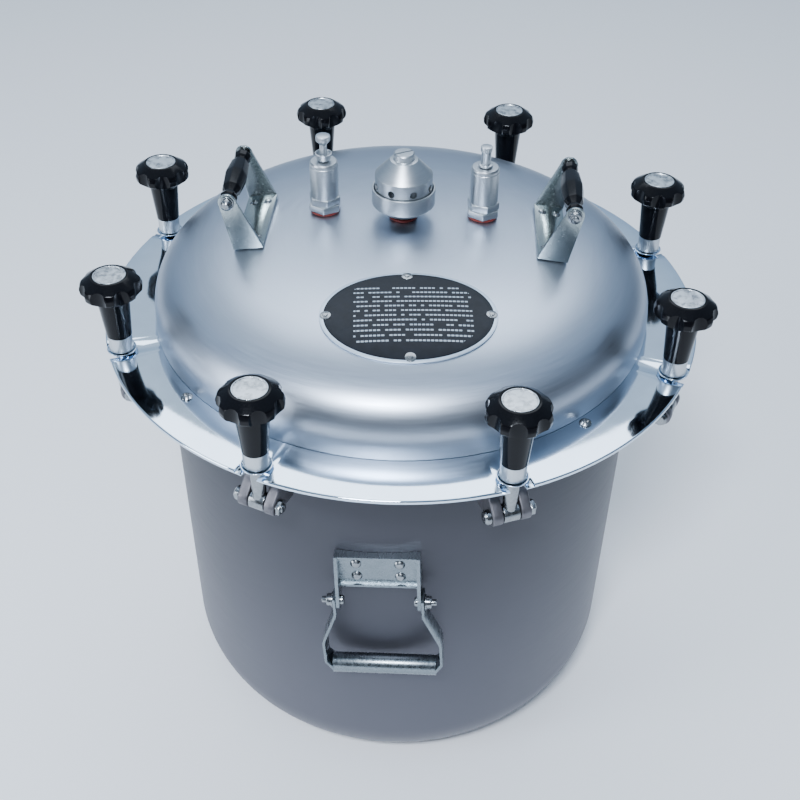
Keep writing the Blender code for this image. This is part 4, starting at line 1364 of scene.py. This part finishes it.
class POT_OT_finishes(bpy.types.Operator):
    """Make every finish of the pot"""

    bl_idname = "pressure_pot.finishes"
    bl_label = "Finishes"

    def execute(self, context):
        mix_finishes(context.scene)
        return {"FINISHED"}


class POT_OT_shell(bpy.types.Operator):
    """Build the pot, its rim with the clamp ears, and the gasket"""

    bl_idname = "pressure_pot.shell"
    bl_label = "Pot, rim and gasket"

    def execute(self, context):
        build_pot(context.scene.pot_shell)
        build_rim(context.scene.pot_shell)
        build_gasket()
        return {"FINISHED"}


class POT_OT_lid(bpy.types.Operator):
    """Build the dome, the polished flange with its screws, and the plate"""

    bl_idname = "pressure_pot.lid"
    bl_label = "Lid"

    def execute(self, context):
        settings = context.scene.pot_lid
        build_dome(settings)
        build_flange(settings)
        build_flange_screws(settings)
        build_nameplate(settings)
        return {"FINISHED"}


class POT_OT_clamps(bpy.types.Operator):
    """Build the eight swing bolts with their pins, washers and star knobs"""

    bl_idname = "pressure_pot.clamps"
    bl_label = "Clamps"

    def execute(self, context):
        build_clamps(context.scene.pot_clamps)
        return {"FINISHED"}


class POT_OT_valves(bpy.types.Operator):
    """Build the weighted regulator and the two spring valves"""

    bl_idname = "pressure_pot.valves"
    bl_label = "Regulator and valves"

    def execute(self, context):
        build_regulator()
        for side in SIDES:
            build_valve(side)
        return {"FINISHED"}


class POT_OT_lid_handles(bpy.types.Operator):
    """Build the two lid handles"""

    bl_idname = "pressure_pot.lid_handles"
    bl_label = "Lid handles"

    def execute(self, context):
        for side in SIDES:
            build_lid_handle(side, context.scene.pot_handles)
        return {"FINISHED"}


class POT_OT_bails(bpy.types.Operator):
    """Build the front and back folding bails with their brackets"""

    bl_idname = "pressure_pot.bails"
    bl_label = "Bails"

    def execute(self, context):
        for side in ("front", "back"):
            build_bail(side, context.scene.pot_handles)
        return {"FINISHED"}


class POT_OT_stage(bpy.types.Operator):
    """Add the floor, the soft lights and the camera"""

    bl_idname = "pressure_pot.stage"
    bl_label = "Stage"

    def execute(self, context):
        build_stage(context.scene)
        return {"FINISHED"}


OPERATORS = (
    POT_OT_finishes, POT_OT_shell, POT_OT_lid, POT_OT_clamps, POT_OT_valves, POT_OT_lid_handles,
    POT_OT_bails, POT_OT_stage,
)
GROUPS = {
    "pot_shell": POT_PG_shell,
    "pot_lid": POT_PG_lid,
    "pot_clamps": POT_PG_clamps,
    "pot_handles": POT_PG_handles,
    "pot_colours": POT_PG_colours,
}


class POT_PT_sidebar(bpy.types.Panel):
    bl_label = "Pressure pot"
    bl_idname = "POT_PT_sidebar"
    bl_space_type = "VIEW_3D"
    bl_region_type = "UI"
    bl_category = "Pressure pot"

    def draw(self, context):
        for operator in OPERATORS:
            self.layout.operator(operator.bl_idname)
        for name in GROUPS:
            box = self.layout.box()
            settings = getattr(context.scene, name)
            for key in settings.__annotations__:
                box.prop(settings, key)


def register():
    for name, group in GROUPS.items():
        bpy.utils.register_class(group)
        setattr(bpy.types.Scene, name, PointerProperty(type=group))
    for operator in OPERATORS:
        bpy.utils.register_class(operator)
    bpy.utils.register_class(POT_PT_sidebar)


def unregister():
    bpy.utils.unregister_class(POT_PT_sidebar)
    for operator in reversed(OPERATORS):
        bpy.utils.unregister_class(operator)
    for name, group in GROUPS.items():
        delattr(bpy.types.Scene, name)
        bpy.utils.unregister_class(group)


def main():
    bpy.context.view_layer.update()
    register()
    for operator in OPERATORS:
        group, name = operator.bl_idname.split(".")
        getattr(getattr(bpy.ops, group), name)()


if __name__ == "__main__":
    main()
